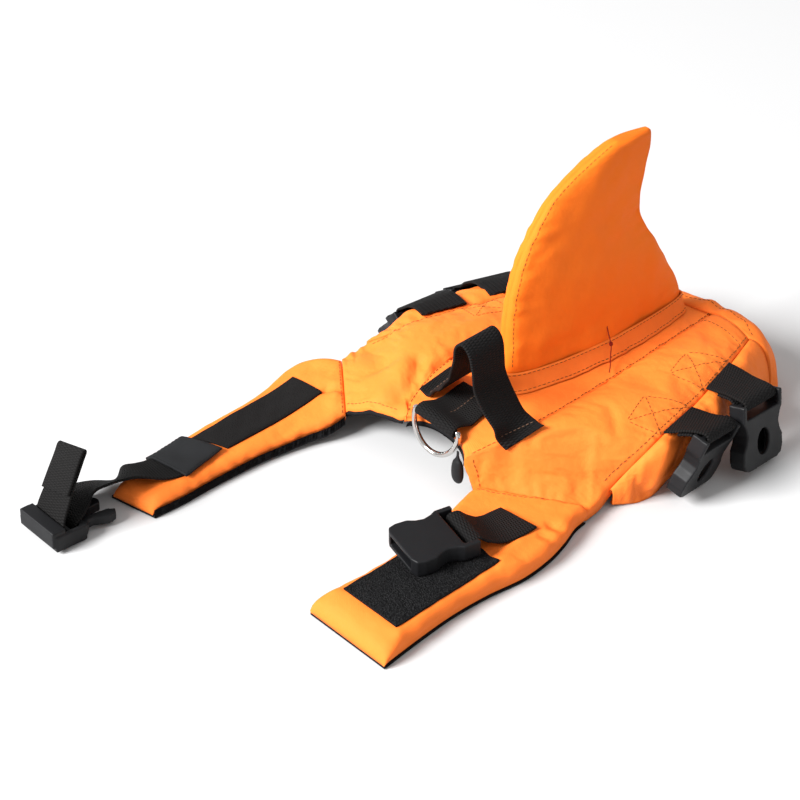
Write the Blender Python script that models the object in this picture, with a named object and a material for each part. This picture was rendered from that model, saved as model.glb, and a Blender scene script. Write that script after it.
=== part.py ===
"""Dog life jacket with a fin on its back, laid on a flat surface.

Lengths in the tables are millimetres on that surface: +X to the wearer's near side,
+Y from the neck to the tail, +Z up.  The body stands as a low saddle on its side flaps,
and the two neck arms lie flat in front of it.
"""
import math

import bmesh
import bpy
import numpy as np
from mathutils import Matrix, Vector
from mathutils.bvhtree import BVHTree

MM = 0.001
ORIGIN = (63.96, -21.63)        # middle of the jacket's box, in the tables' own x and y

# Driving sizes, mm
SEAM_GAP = 0.35               # clear space between neighbouring pieces
STEPS = 2                     # stations for each row of a panel's table
PAD_FOAM = 12.0               # a pad's foam at its middle
FLAP_THICK = 5.0              # a side flap's thin foam
BAND_THICK = 3.5              # the centre band's cloth and lining
BAND_DROP = 2.5               # how far the band lies below the pads' inner edges
LINING = 1.2
ARM_LINING_GAP = 0.35
WEB_BODY = 30.0               # belly webbing
WEB_HANDLE = 25.0             # handle webbing
WEB_RING = 28.0               # webbing round the ring
WEB_NECK = 25.0               # neck webbing
WEB_THICK = 1.6
TAPE_THICK = 1.5              # hook and loop tape
RING_WIRE = 3.2
FIN_FOOT = 44.0               # height of the fin's underside


# ---------------------------------------------------------------- general tools

def clear_scene():
    for thing in list(bpy.data.objects):
        bpy.data.objects.remove(thing, do_unlink=True)


def finish(name, color, roughness, metallic=0.0):
    """A Principled BSDF material."""
    mat = bpy.data.materials.new(name)
    mat.use_nodes = True
    shader = mat.node_tree.nodes["Principled BSDF"]
    shader.inputs["Base Color"].default_value = (*color, 1.0)
    shader.inputs["Roughness"].default_value = roughness
    shader.inputs["Metallic"].default_value = metallic
    mat.diffuse_color = (*color, 1.0)
    return mat


def place(points):
    """Table millimetres to metres about the jacket's own origin."""
    pts = np.asarray(points, float).copy()
    pts[..., 0] -= ORIGIN[0]
    pts[..., 1] -= ORIGIN[1]
    return pts * MM


def make_object(name, verts, faces, mat):
    """A closed mesh from table points, its faces turned outwards."""
    mesh = bpy.data.meshes.new(name)
    mesh.from_pydata([tuple(v) for v in place(verts)], [], faces)
    bm = bmesh.new()
    bm.from_mesh(mesh)
    bmesh.ops.triangulate(bm, faces=bm.faces)
    if bm.calc_volume(signed=True) < 0:
        bmesh.ops.reverse_faces(bm, faces=bm.faces)
    bm.to_mesh(mesh)
    bm.free()
    mesh.materials.append(mat)
    obj = bpy.data.objects.new(name, mesh)
    bpy.context.scene.collection.objects.link(obj)
    return obj


def smooth_curve(rows, steps=STEPS):
    """Catmull-Rom curve through the rows, `steps` stations for each interval."""
    pts = np.asarray(rows, float)
    ends = np.vstack([2 * pts[0] - pts[1], pts, 2 * pts[-1] - pts[-2]])
    out = []
    for i in range(len(pts) - 1):
        p0, p1, p2, p3 = ends[i:i + 4]
        for k in range(steps):
            t = k / steps
            out.append(0.5 * (2 * p1 + (p2 - p0) * t + (2 * p0 - 5 * p1 + 4 * p2 - p3) * t ** 2
                              + (3 * p1 - p0 - 3 * p2 + p3) * t ** 3))
    out.append(pts[-1])
    return np.array(out)


def resample(rows, count):
    """`count` stations spread evenly along the smooth curve through the rows."""
    dense = smooth_curve(rows, 12)
    walk = np.concatenate([[0], np.cumsum(np.linalg.norm(np.diff(dense[:, :3], axis=0), axis=1))])
    where = np.linspace(0, walk[-1], count)
    return np.stack([np.interp(where, walk, dense[:, k]) for k in range(dense.shape[1])], axis=1)


def grid_normals(grid, up):
    """Unit normals of a grid of points, all on the side that `up` points to."""
    along = np.gradient(grid, axis=0)
    across = np.gradient(grid, axis=1)
    normal = np.cross(along, across)
    normal /= np.linalg.norm(normal, axis=2, keepdims=True) + 1e-9
    side = np.sign(np.sum(normal * up, axis=2, keepdims=True))
    side[side == 0] = 1
    return normal * side


def slab(name, top, bottom, mat):
    """The closed solid between two grids of points that share their layout."""
    n, m = top.shape[:2]
    verts = np.vstack([top.reshape(-1, 3), bottom.reshape(-1, 3)])
    low = n * m
    faces = []
    for i in range(n - 1):
        for j in range(m - 1):
            a = i * m + j
            faces.append((a, a + 1, a + m + 1, a + m))
            faces.append((low + a, low + a + m, low + a + m + 1, low + a + 1))
    rim = [j for j in range(m)] + [i * m + m - 1 for i in range(1, n)]
    rim += [(n - 1) * m + j for j in range(m - 2, -1, -1)] + [i * m for i in range(n - 2, 0, -1)]
    for a, b in zip(rim, rim[1:] + rim[:1]):
        faces.append((b, a, low + a, low + b))
    return make_object(name, verts, faces, mat)


def loft(name, rings, mat):
    """A closed solid through closed rings of points, capped at both ends."""
    rings = np.asarray(rings, float)
    n, m = rings.shape[:2]
    faces = [(i * m + j, i * m + (j + 1) % m, (i + 1) * m + (j + 1) % m, (i + 1) * m + j)
             for i in range(n - 1) for j in range(m)]
    faces.append(tuple(range(m - 1, -1, -1)))
    faces.append(tuple((n - 1) * m + j for j in range(m)))
    return make_object(name, rings.reshape(-1, 3), faces, mat)


def tube_ring(name, rings, mat):
    """A closed band through closed rings of points, the last joined to the first."""
    rings = np.asarray(rings, float)
    n, m = rings.shape[:2]
    faces = [(i * m + j, i * m + (j + 1) % m, ((i + 1) % n) * m + (j + 1) % m, ((i + 1) % n) * m + j)
             for i in range(n) for j in range(m)]
    return make_object(name, rings.reshape(-1, 3), faces, mat)


def strap(name, path, side, width, thick, mat):
    """Flat webbing: a rectangle carried along a path.

    `side` is the direction of the width, one for the whole path or one for each point.
    """
    path = np.asarray(path, float)
    side = np.broadcast_to(np.asarray(side, float), path.shape)
    side = side / np.linalg.norm(side, axis=1, keepdims=True)
    run = np.gradient(path, axis=0)
    run /= np.linalg.norm(run, axis=1, keepdims=True)
    face = np.cross(run, side)
    face /= np.linalg.norm(face, axis=1, keepdims=True)
    half = side * width / 2
    deep = face * thick / 2
    rings = np.stack([path - half - deep, path + half - deep, path + half + deep, path - half + deep], axis=1)
    return loft(name, rings, mat)


class Surface:
    """Heights of finished pieces, for what lies on them or under them."""

    def __init__(self, *objects):
        self.trees = []
        for obj in objects:
            bm = bmesh.new()
            bm.from_mesh(obj.data)
            self.trees.append(BVHTree.FromBMesh(bm))
            bm.free()

    def height(self, x, y, from_above=True):
        """Highest point (or lowest, from below) over a place of the tables, in mm."""
        px, py = (x - ORIGIN[0]) * MM, (y - ORIGIN[1]) * MM
        start, way = (0.5, -1) if from_above else (-0.5, 1)
        hits = [tree.ray_cast(Vector((px, py, start)), Vector((0, 0, way)))[0] for tree in self.trees]
        heights = [hit.z / MM for hit in hits if hit is not None]
        if not heights:
            return None
        return max(heights) if from_above else min(heights)


def plate_on(name, corners, surface, thick, mat, cells=(4, 3), lift=SEAM_GAP):
    """A flat piece sewn on: four corners in plan, laid on a surface and raised off it."""
    c = np.asarray(corners, float)
    u = np.linspace(0, 1, cells[0] + 1)[:, None]
    v = np.linspace(0, 1, cells[1] + 1)[None, :]
    plan = ((1 - u)[..., None] * (1 - v)[..., None] * c[0] + u[..., None] * (1 - v)[..., None] * c[1]
            + u[..., None] * v[..., None] * c[2] + (1 - u)[..., None] * v[..., None] * c[3])
    found = [[surface.height(x, y) for x, y in row] for row in plan]
    crest = max(z for row in found for z in row if z is not None)
    z = np.array([[crest - 1.0 if z is None else max(z, crest - 2.5) for z in row] for row in found])
    low = np.dstack([plan, z + lift])
    return slab(name, low + [0, 0, thick], low, mat)


def cut(obj, cutter, operation="DIFFERENCE"):
    """Boolean with a hidden wire guide."""
    cutter.hide_render = True
    cutter.display_type = "WIRE"
    mod = obj.modifiers.new(cutter.name, "BOOLEAN")
    mod.operation = operation
    mod.object = cutter
    return mod


# ---------------------------------------------------------------- body panels

# One row for each station from the neck to the tail.
# channel: sewn line between the centre band and the pad; seam: pad's outer edge.
#  channel x     y     z     seam x     y     z   rise  edge
NEAR_SIDE = [
    (98.0,  -39.5, 12.0,   152.0,  -7.0, 10.0,   1.5,  8.0),
    (95.5,  -40.5, 21.0,   151.0,   5.0, 10.0,   3.0,  8.0),
    (92.5,  -41.0, 29.5,   150.0,  14.0, 12.0,   5.0,  7.0),
    (97.5,  -33.0, 36.0,   153.0,  21.0, 20.0,   5.0,  5.0),
    (103.0, -19.0, 41.0,   157.5,  28.0, 30.0,   5.0,  4.0),
    (108.0,   0.0, 44.0,   160.0,  37.0, 37.0,   4.5,  4.0),
    (110.0,  25.0, 45.0,   159.0,  51.0, 39.5,   4.0,  4.0),
    (110.0,  57.0, 45.0,   156.0,  73.0, 40.0,   4.0,  4.0),
    (109.5,  88.0, 45.0,   151.5,  97.0, 41.0,   4.0,  4.0),
    (108.5, 119.0, 45.0,   145.5, 122.0, 41.0,   4.0,  4.0),
    (107.0, 152.0, 44.5,   138.0, 149.0, 41.0,   3.0,  4.0),
]
FAR_SIDE = [
    (3.0,   -46.0, 19.0,   -33.0, -16.0, 22.0,   1.5,  6.0),
    (22.5,  -42.5, 27.5,   -31.0,  -7.0, 24.0,   3.0,  5.0),
    (44.5,  -39.5, 32.0,   -28.0,   1.0, 28.0,   4.0,  5.0),
    (40.0,  -31.5, 36.5,   -22.0,   8.0, 32.0,   4.0,  4.0),
    (36.0,  -18.0, 41.0,   -17.0,  14.0, 36.0,   4.0,  4.0),
    (33.0,    3.0, 44.0,   -12.0,  22.0, 39.0,   4.0,  4.0),
    (35.0,   25.0, 45.0,    -7.0,  34.0, 41.0,   4.0,  4.0),
    (42.0,   55.0, 45.0,     2.0,  61.0, 41.0,   4.0,  4.0),
    (50.0,   86.0, 45.0,    11.0,  88.0, 41.0,   4.0,  4.0),
    (58.0,  116.0, 45.0,    22.0, 115.0, 41.0,   4.0,  4.0),
    (66.0,  146.0, 44.5,    36.0, 142.0, 41.0,   3.0,  4.0),
]
NECK_ROW = 2                  # the row where the centre band and the side flaps begin

# The side flaps' hems, from NECK_ROW on, how far the flap swells past the straight line
# to its hem, and the way it faces in plan (0 is +X, 90 is +Y).
#  hem x      y     z   swell  facing
NEAR_HEM = [
    (153.0,  14.0,  2.0,   0.5,  -10.0),
    (157.0,  21.0,  1.0,   2.0,  -20.0),
    (160.5,  29.0,  0.0,   4.5,  -16.0),
    (161.5,  40.0,  0.0,   7.5,   -4.0),
    (158.0,  60.0,  0.0,   9.0,    3.0),
    (160.0,  76.0,  0.0,   9.0,    6.0),
    (159.0,  98.0,  0.0,   9.0,    8.0),
    (156.0, 122.0,  0.0,   8.0,   12.0),
    (151.0, 158.0,  0.0,   0.0,   35.0),
]
FAR_HEM = [
    (-30.0,   2.0, 12.0,   1.5,  180.0),
    (-32.0,  12.0,  4.0,   3.0,  178.0),
    (-33.5,  21.0,  1.0,   4.0,  176.0),
    (-33.5,  32.0,  0.0,   4.5,  174.0),
    (-32.5,  46.0,  0.0,   5.0,  173.0),
    (-30.0,  67.0,  0.0,   8.0,  172.0),
    (-26.5,  92.0,  0.0,  10.5,  168.0),
    (-17.0, 119.0,  0.0,  10.0,  160.0),
    (9.5,   153.0,  0.0,   0.0,  138.0),
]

# The tail flap's hem on the surface, from the near side to the far side.
#   x      y
TAIL_HEM = [
    (151.5, 159.5), (149.0, 169.0), (140.0, 178.0), (124.0, 184.0), (104.0, 186.0),
    (84.0, 186.0), (64.0, 183.5), (44.0, 178.0), (25.0, 168.5), (10.2, 155.0),
]

# The neck arms: outer edge and inner edge of the top face, from the root to the tip.
#  outer x     y     z     inner x     y     z
NEAR_ARM = [
    (151.9,  -7.6, 13.0,    98.2, -40.0, 13.0),
    (153.0, -17.0, 13.0,    99.0, -48.0, 13.0),
    (157.0, -30.0, 13.0,   101.5, -57.0, 13.0),
    (160.0, -45.0, 13.0,   104.5, -68.0, 13.0),
    (160.5, -65.0, 13.0,   106.5, -84.0, 13.0),
    (156.5, -88.0, 13.0,   107.5, -102.0, 13.0),
    (154.5, -112.0, 13.0,  107.5, -121.0, 13.0),
    (155.0, -137.0, 13.0,  106.0, -141.0, 13.0),
    (156.5, -162.0, 13.0,  102.5, -162.0, 13.0),
]
FAR_ARM = [
    (-33.3, -16.6, 22.0,     2.7, -46.6, 19.0),
    (-43.0, -21.5, 21.0,     1.8, -53.0, 17.0),
    (-53.0, -29.0, 17.0,    -0.5, -60.0, 15.0),
    (-56.5, -41.0, 13.5,    -4.5, -69.0, 13.5),
    (-53.5, -57.0, 11.5,    -8.0, -82.0, 12.0),
    (-51.0, -77.0, 11.0,   -11.0, -99.0, 11.5),
    (-51.0, -100.0, 10.6,  -12.5, -116.0, 11.0),
    (-49.5, -126.0, 10.6,  -13.5, -134.0, 10.6),
    (-46.0, -152.0, 10.6,  -13.5, -153.0, 10.5),
    (-42.5, -178.0, 10.5,  -15.0, -172.5, 10.5),
]
NEAR_ARM_FOAM = 11.4
FAR_ARM_FOAM = 8.9


def plan_normal(curve, towards):
    """Unit direction square to a curve in plan, on the side of the points `towards`."""
    run = np.gradient(curve, axis=0) * [1, 1, 0]
    side = np.stack([run[:, 1], -run[:, 0], 0 * run[:, 0]], axis=1)
    side /= np.linalg.norm(side, axis=1, keepdims=True)
    way = np.sign(np.sum(side * (towards - curve), axis=1, keepdims=True))
    return side * way


def bow(s, power=2.0):
    """0 at both ends of s in 0..1 and 1 in the middle."""
    return 1 - np.abs(2 * s - 1) ** power


def build_pad(name, table, mat):
    """Foam pad from its channel to its seam; returns the object and its two edge curves."""
    rows = smooth_curve(table)
    inner, outer, rise, edge = rows[:, 0:3], rows[:, 3:6], rows[:, 6], rows[:, 7]
    s = np.array([0.0, 0.06, 0.2, 0.4, 0.6, 0.8, 0.94, 1.0])
    flat = inner[:, None, :] + (outer - inner)[:, None, :] * s[None, :, None]
    top = flat.copy()
    top[..., 2] += rise[:, None] * bow(s, 2.6)[None, :]
    top[:, 0] += plan_normal(inner, outer) * SEAM_GAP / 2
    top[:, -1] += plan_normal(outer, inner) * SEAM_GAP / 2
    inner_edge = 4.0
    thick = inner_edge + (edge[:, None] - inner_edge) * s[None, :]
    thick = thick + (PAD_FOAM - 4.0) * bow(s, 4)[None, :]
    lean = bow(s)[None, :, None] * np.clip(np.arange(len(top)) / 3, 0, 1)[:, None, None]
    lean = lean * np.clip(np.arange(len(top))[::-1] / 3, 0, 1)[:, None, None]
    normal = grid_normals(top, np.array([0, 0, 1.0])) * lean + np.array([0, 0, 1.0]) * (1 - lean)
    normal /= np.linalg.norm(normal, axis=2, keepdims=True)
    bottom = top - normal * thick[..., None]
    bottom[..., 2] = np.maximum(bottom[..., 2], 1.6)
    return slab(name, top, bottom, mat), inner, outer, bottom


def build_flap(name, seam, hem, mat):
    """Side flap: out from the seam, over its swell and down to the hem."""
    rows = smooth_curve(hem)
    seam = seam[NECK_ROW * STEPS:]
    facing = np.radians(rows[:, 4])
    out = np.stack([np.cos(facing), np.sin(facing), 0 * facing], axis=1)
    angle = np.linspace(0, math.pi / 2, 8)
    way, fall = np.sin(angle), 1 - np.cos(angle)
    puff = np.sin(2 * angle) ** 0.8 * (1 - 0.35 * np.sin(angle))
    start = seam + plan_normal(seam, seam + out * 9) * SEAM_GAP
    top = start[:, None, :] + np.zeros((1, len(angle), 1))
    top[..., :2] += (rows[:, None, :2] - start[:, None, :2]) * way[None, :, None]
    top[..., 2] += (rows[:, None, 2] - start[:, None, 2]) * fall[None, :]
    top += out[:, None, :] * (rows[:, 3][:, None] * puff[None, :])[..., None]
    normal = grid_normals(top, out[:, None, :] + np.array([0, 0, 0.4]))
    normal[:, 0] = (0, 0, 1)
    normal[:, -1] = out
    top[..., 2] = np.maximum(top[..., 2], 0.0)
    thick = 3.0 + (FLAP_THICK - 3.0) * bow(np.linspace(0, 1, len(angle)))
    bottom = top - normal * thick[None, :, None]
    bottom[:, -1, 2] = top[:, -1, 2]
    bottom[..., 2] = np.maximum(bottom[..., 2], np.maximum(rows[:, 2], 0.0)[:, None])
    depth = start[:, None, 2] - bottom[..., 2]
    clear = plan_normal(seam, seam + out * 9)
    inward = -np.sum((bottom - start[:, None, :]) * clear[:, None, :], axis=2)
    inward = np.maximum(0, inward - np.maximum(0, depth - PAD_FOAM - 1.5))
    bottom += clear[:, None, :] * inward[..., None]
    return slab(name, top, bottom, mat)


def build_band(near_edge, far_edge, mat):
    """Centre band between the two channels, a little below the pads."""
    near = near_edge[NECK_ROW * STEPS:]
    far = far_edge[NECK_ROW * STEPS:]
    s = np.linspace(0, 1, 7)
    top = far[:, None, :] + (near - far)[:, None, :] * s[None, :, None]
    drop = np.full(len(near), BAND_DROP)
    drop[:3] = (0.3, 1.0, 1.8)
    top[..., 2] -= drop[:, None]
    ahead = np.zeros(len(near))
    ahead[:5] = (1.0, 0.75, 0.5, 0.25, 0.1)
    top[..., 2] += (3.0 * ahead)[:, None] * bow(s)[None, :]
    top[..., 1] += (9.0 * ahead)[:, None] * bow(s, 3)[None, :]
    top[:, 0] += plan_normal(far, near) * SEAM_GAP / 2
    top[:, -1] += plan_normal(near, far) * SEAM_GAP / 2
    bottom = top - np.array([0, 0, BAND_THICK])
    return slab("centre_band", top, bottom, mat), bottom


def build_lining(name, under, mat):
    """Lining strip just below a panel's underside, drawn in a little at its ends."""
    top = under - [0, 0, SEAM_GAP + 0.1]
    top[:, 0] += (top[:, 1] - top[:, 0]) * 0.06
    top[:, -1] += (top[:, -2] - top[:, -1]) * 0.06
    slab(name, top, top - [0, 0, LINING], mat)


def build_tail(near_outer, near_inner, far_inner, far_outer, mat):
    """Tail flap: a half-round skirt behind the pads and the band."""
    def across(a, b, count, rise):
        s = np.linspace(0, 1, count)
        line = a + (b - a) * s[:, None]
        line[:, 2] += rise * bow(s, 2.6)
        return line
    corner_near, corner_far = near_outer[-1], far_outer[-1]
    start = np.vstack([across(corner_near, near_inner[-1], 7, 3.0)[:-1],
                       across(near_inner[-1], far_inner[-1], 6, -1.0)[:-1],
                       across(far_inner[-1], corner_far, 6, 3.0)])
    start[:, 1] += SEAM_GAP + 0.15
    hem = resample([(x, y, 0.0) for x, y in TAIL_HEM], len(start))
    angle = np.linspace(0, math.pi / 2, 8)
    way, fall = np.sin(angle), 1 - np.cos(angle)
    top = np.zeros((len(start), len(angle), 3))
    top[..., :2] = start[:, None, :2] + (hem - start)[:, None, :2] * way[None, :, None]
    top[..., 2] = start[:, 2][:, None] * (1 - fall)[None, :]
    out = (hem - start) * [1, 1, 0]
    out /= np.linalg.norm(out, axis=1, keepdims=True)
    normal = grid_normals(top, out[:, None, :] + np.array([0, 0, 0.4]))
    normal[:, 0] = (0, 0, 1)
    normal[:, -1] = out
    bottom = top - normal * 3.0
    bottom[..., 2] = np.maximum(bottom[..., 2], 0.0)
    return slab("tail_flap", top, bottom, mat)


def build_arm(name, table, foam, mat, lining_mat):
    """Padded neck arm with upright sewn sides, and the lining under it."""
    rows = smooth_curve(table)
    outer, inner = rows[:, 0:3], rows[:, 3:6]
    s = np.array([0.0, 0.0, 0.03, 0.1, 0.35, 0.65, 0.9, 0.97, 1.0, 1.0])
    drop = np.array([0.72, 0.3, 0.1, 0.02, 0.0, 0.0, 0.02, 0.1, 0.3, 0.72]) * foam
    top = inner[:, None, :] + (outer - inner)[:, None, :] * s[None, :, None]
    ends = np.ones(len(rows))
    ends[-1] = 0.92
    top[..., 2] -= drop[None, :]
    top[-1, :, 2] -= 1.0
    bottom = inner[:, None, :] + (outer - inner)[:, None, :] * s[None, :, None]
    bottom[..., 2] -= foam
    squeeze = np.array([0.004, 0.006, 0, 0, 0, 0, 0, 0, -0.006, -0.004])
    bottom += (outer - inner)[:, None, :] * squeeze[None, :, None]
    arm = slab(name, top, bottom, mat)
    t = np.array([0.0, 0.5, 1.0])
    under = inner[:, None, :] + (outer - inner)[:, None, :] * t[None, :, None]
    under[..., 2] -= foam + ARM_LINING_GAP
    slab(name + "_lining", under, under - [0, 0, LINING], lining_mat)
    return arm


# ---------------------------------------------------------------- fin

# Outline in the fin's own plane: s along its foot from the front, z height.
#  leading s, trailing s, z, half thickness
FIN_LEVELS = [
    (1.5, 134.8,  44.6, 11.5),
    (1.0, 135.3,  53.0, 11.5),
    (0.8, 133.0,  61.0, 11.0),
    (1.0, 127.5,  71.0, 10.5),
    (1.2, 119.5,  84.0, 10.0),
    (2.8, 111.0,  98.0,  9.3),
    (5.6, 102.5, 110.0, 8.6),
    (9.2, 96.5,  121.0, 8.0),
    (15.0, 95.5, 132.0, 7.3),
    (21.5, 96.5, 142.0, 6.6),
    (29.0, 98.0, 151.0, 6.0),
    (41.0, 99.5, 159.0, 5.4),
    (53.0, 99.8, 165.0, 4.8),
    (66.0, 99.5, 169.2, 4.2),
    (79.0, 98.8, 171.6, 3.2),
    (87.0, 97.8, 172.5, 1.6),
]
FIN_FRONT = (71.0, 10.0)      # the foot's front end in plan
FIN_BACK = (87.0, 141.0)      # and its rear end
SECTION_POINTS = 9            # points along one face of the fin


def fin_frame():
    front, back = np.array([*FIN_FRONT, 0.0]), np.array([*FIN_BACK, 0.0])
    along = (back - front) / np.linalg.norm(back - front)
    side = np.array([along[1], -along[0], 0.0])
    return front, along, side


def fin_section(lead, trail, z, half, spread=0.0):
    """Lens-shaped level of the fin: full in front, thin at the trailing edge."""
    front, along, side = fin_frame()
    u = 0.5 - 0.5 * np.cos(np.linspace(0, math.pi, SECTION_POINTS))
    full = half * (np.sin(math.pi * u ** 0.8) ** 0.62) + 1.2
    full[0] = full[-1] = 0.8
    s = lead + (trail - lead) * u
    near = front + along * s[:, None] + side * (full + spread)[:, None]
    far = front + along * s[:, None] - side * (full + spread)[:, None]
    ring = np.vstack([near, far[::-1]])
    ring[:, 2] = z
    return ring


def build_fin(mat):
    loft("fin", [fin_section(*level) for level in FIN_LEVELS], mat)


def build_skirt(mat, surface):
    """The fin panels' flared lower edges, sewn down to the band all round."""
    inner_top = fin_section(0.2, 136.2, 53.0, 11.6, 0.5)
    inner_low = fin_section(-2.5, 136.4, 44.0, 13.0, 5.0)
    for point in inner_low:
        point[2] = surface.height(point[0], point[1]) + SEAM_GAP
    wall = 1.2
    centre = inner_top.mean(axis=0)

    def outward(ring):
        way = ring - centre
        way[:, 2] = 0
        return way / np.linalg.norm(way, axis=1, keepdims=True)
    outer_top = inner_top + outward(inner_top) * wall
    outer_low = inner_low + outward(inner_low) * wall
    rings = np.stack([inner_low, inner_top, outer_top, outer_low], axis=1)
    return tube_ring("fin_skirt", rings, mat)


# ---------------------------------------------------------------- webbing, ring and tab

# The handle's rise across the spine, between its two sewn ends.
#   x      y      z
HANDLE_RISE = [
    (104.0, -18.5, 50.0), (98.0, -20.5, 59.0), (92.8, -23.0, 72.0), (92.2, -24.3, 84.0),
    (90.0, -24.5, 94.0), (84.5, -24.5, 98.2), (80.0, -24.3, 94.0), (78.0, -23.5, 85.0),
    (73.5, -21.5, 74.0), (68.5, -18.5, 63.5), (60.5, -15.5, 53.5), (53.0, -13.0, 47.0),
]
HANDLE_NEAR_END = [(112.5, -15.0), (108.5, -16.0)]
HANDLE_FAR_END = [(47.0, -11.5), (39.5, -10.5)]
HANDLE_NEAR_WAY = (0.25, 0.968)           # the width's direction in plan at the near end
RING_BAR = (67.4, -36.8, 40.2)            # middle of the ring's bar
RING_BAR_WAY = (0.985, 0.06, -0.12)       # along the bar, near end a little lower
TAB_Y = -40.6
RING_HANG = (0.0, -0.08, -1.0)            # the ring hangs just in front of the neck edge
RING_DEPTH = 22.0                         # bar centre to the wire's far side


def seat(spot, way, surface, lift=0.0):
    """Middle point and width direction of webbing sewn down across a spot of the body."""
    reach = np.linspace(-WEB_HANDLE / 2 + 1, WEB_HANDLE / 2 - 1, 9)
    found = [(k, surface.height(spot[0] + way[0] * k, spot[1] + way[1] * k)) for k in reach]
    t, z = np.array([(k, h) for k, h in found if h is not None]).T
    slope = np.polyfit(t, z, 1)[0]
    height = np.max(z - slope * t) + SEAM_GAP + lift + WEB_THICK / 2 * math.hypot(1, slope)
    return (*spot, height, way[0], way[1], slope)


def build_handle(mat, surface):
    """Grab handle: sewn down at both ends and bent over into a standing loop."""
    near = [seat(spot, HANDLE_NEAR_WAY, surface, 2.7) for spot in HANDLE_NEAR_END]
    far = [seat(spot, (0.0, 1.0), surface, 0.8) for spot in HANDLE_FAR_END]
    middle = [(x, y, z, 0.0, 1.0, 0.0) for x, y, z in HANDLE_RISE]
    path = resample(near + middle + far, 32)
    return strap("handle", path[:, :3], path[:, 3:6], WEB_HANDLE, WEB_THICK, mat)


def build_ring_loop(mat, surface):
    """Webbing along the spine under the handle, folded back round the ring's bar."""
    bar = np.array(RING_BAR)
    way = np.array(RING_BAR_WAY) / np.linalg.norm(RING_BAR_WAY)
    radius = RING_WIRE / 2 + SEAM_GAP + WEB_THICK / 2
    fold = np.cross(way, (0, 0, 1.0))          # level, towards the neck
    fold /= np.linalg.norm(fold)
    up = np.cross(fold, way)
    up *= np.sign(up[2])
    turn = [bar + radius * (math.cos(a) * up + math.sin(a) * fold)
            for a in np.linspace(0, math.pi, 9)]
    lower = turn[-1] - fold * 2.2
    upper_run = []
    for y in (-26.0, -19.0, -12.0, -4.0):
        clear = max(surface.height(x, y) for x in np.linspace(54, 84, 7))
        upper_run.append(np.array([bar[0] + 1.5, y, max(clear + 2.2, 40.5)]))
    path = [*upper_run[::-1], bar + radius * up - fold * 3.0, *turn, lower]
    sides = spread_side((1, 0, 0), (1, 0, 0), len(upper_run) - 1, 1)
    sides = np.vstack([sides, np.tile(way, (len(path) - len(sides), 1))])
    return strap("ring_loop", path, sides, WEB_RING, WEB_THICK, mat)


def build_ring(mat):
    """D-ring: a straight bar and a half-round bow, hanging from the webbing's fold."""
    bar = np.array(RING_BAR)
    way = np.array(RING_BAR_WAY) / np.linalg.norm(RING_BAR_WAY)
    down = np.array(RING_HANG)
    down -= way * np.dot(down, way)
    down /= np.linalg.norm(down)
    front = np.cross(way, down)
    half = WEB_RING / 2 + 2.1
    corner = 1.9
    line = [bar - way * (half - corner), bar + way * (half - corner)]
    line += [bar + way * (half - corner + corner * math.sin(a)) + down * corner * (1 - math.cos(a))
             for a in np.radians((30, 60, 90))]
    deep = RING_DEPTH - corner
    line += [bar + way * half * math.cos(a) + down * (corner + deep * math.sin(a))
             for a in np.radians(np.arange(15, 180, 15))]
    line += [bar - way * (half - corner + corner * math.sin(a)) + down * corner * (1 - math.cos(a))
             for a in np.radians((90, 60, 30))]
    line = np.array(line)
    run = np.roll(line, -1, axis=0) - np.roll(line, 1, axis=0)
    run /= np.linalg.norm(run, axis=1, keepdims=True)
    outward = np.cross(run, front)
    turn = np.radians(np.arange(0, 360, 45))
    rings = line[:, None, :] + RING_WIRE / 2 * (np.cos(turn)[None, :, None] * outward[:, None, :]
                                                + np.sin(turn)[None, :, None] * front)
    return tube_ring("d_ring", rings, mat)


def build_tab(mat):
    """Small drop-shaped pull hanging at the neck's near corner."""
    heights = [(31.5, 0.9), (27.0, 1.2), (24.5, 3.0), (20.0, 4.1), (15.0, 4.2), (11.5, 3.2), (10.0, 1.6)]
    turn = np.radians(np.arange(0, 360, 45))
    rings = [[(87.2 + r * math.cos(a), TAB_Y + 0.55 * r * math.sin(a), z) for a in turn] for z, r in heights]
    return loft("pull_tab", rings, mat)


# ---------------------------------------------------------------- buckles

# Half outlines of the buckle halves: half width across the bar, distance from the bar
# towards the mouth or the prongs' tips, in mm for WEB_NECK.  They are mirrored across.
FEMALE_HALF = [(16.5, -1.4), (16.5, 8.0), (14.6, 11.5), (13.4, 16.0), (14.4, 20.5), (16.6, 24.5),
               (16.9, 31.0), (15.6, 35.5), (12.0, 37.0)]
MALE_HALF = [(15.6, -1.4), (16.2, 2.0), (16.2, 9.0), (12.6, 12.0), (12.4, 15.0), (14.6, 19.0),
             (16.4, 23.0), (15.4, 28.0), (12.4, 29.5), (9.8, 25.5), (8.8, 15.0), (4.2, 13.5),
             (3.2, 26.0), (0.0, 27.5)]
BAR_HALF = 1.4                # half the bar's square section
LOOP_RADIUS = BAR_HALF * math.sqrt(2) + SEAM_GAP + WEB_THICK / 2
BUCKLE_HALF = 5.0             # half a receiving buckle's thickness


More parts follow.
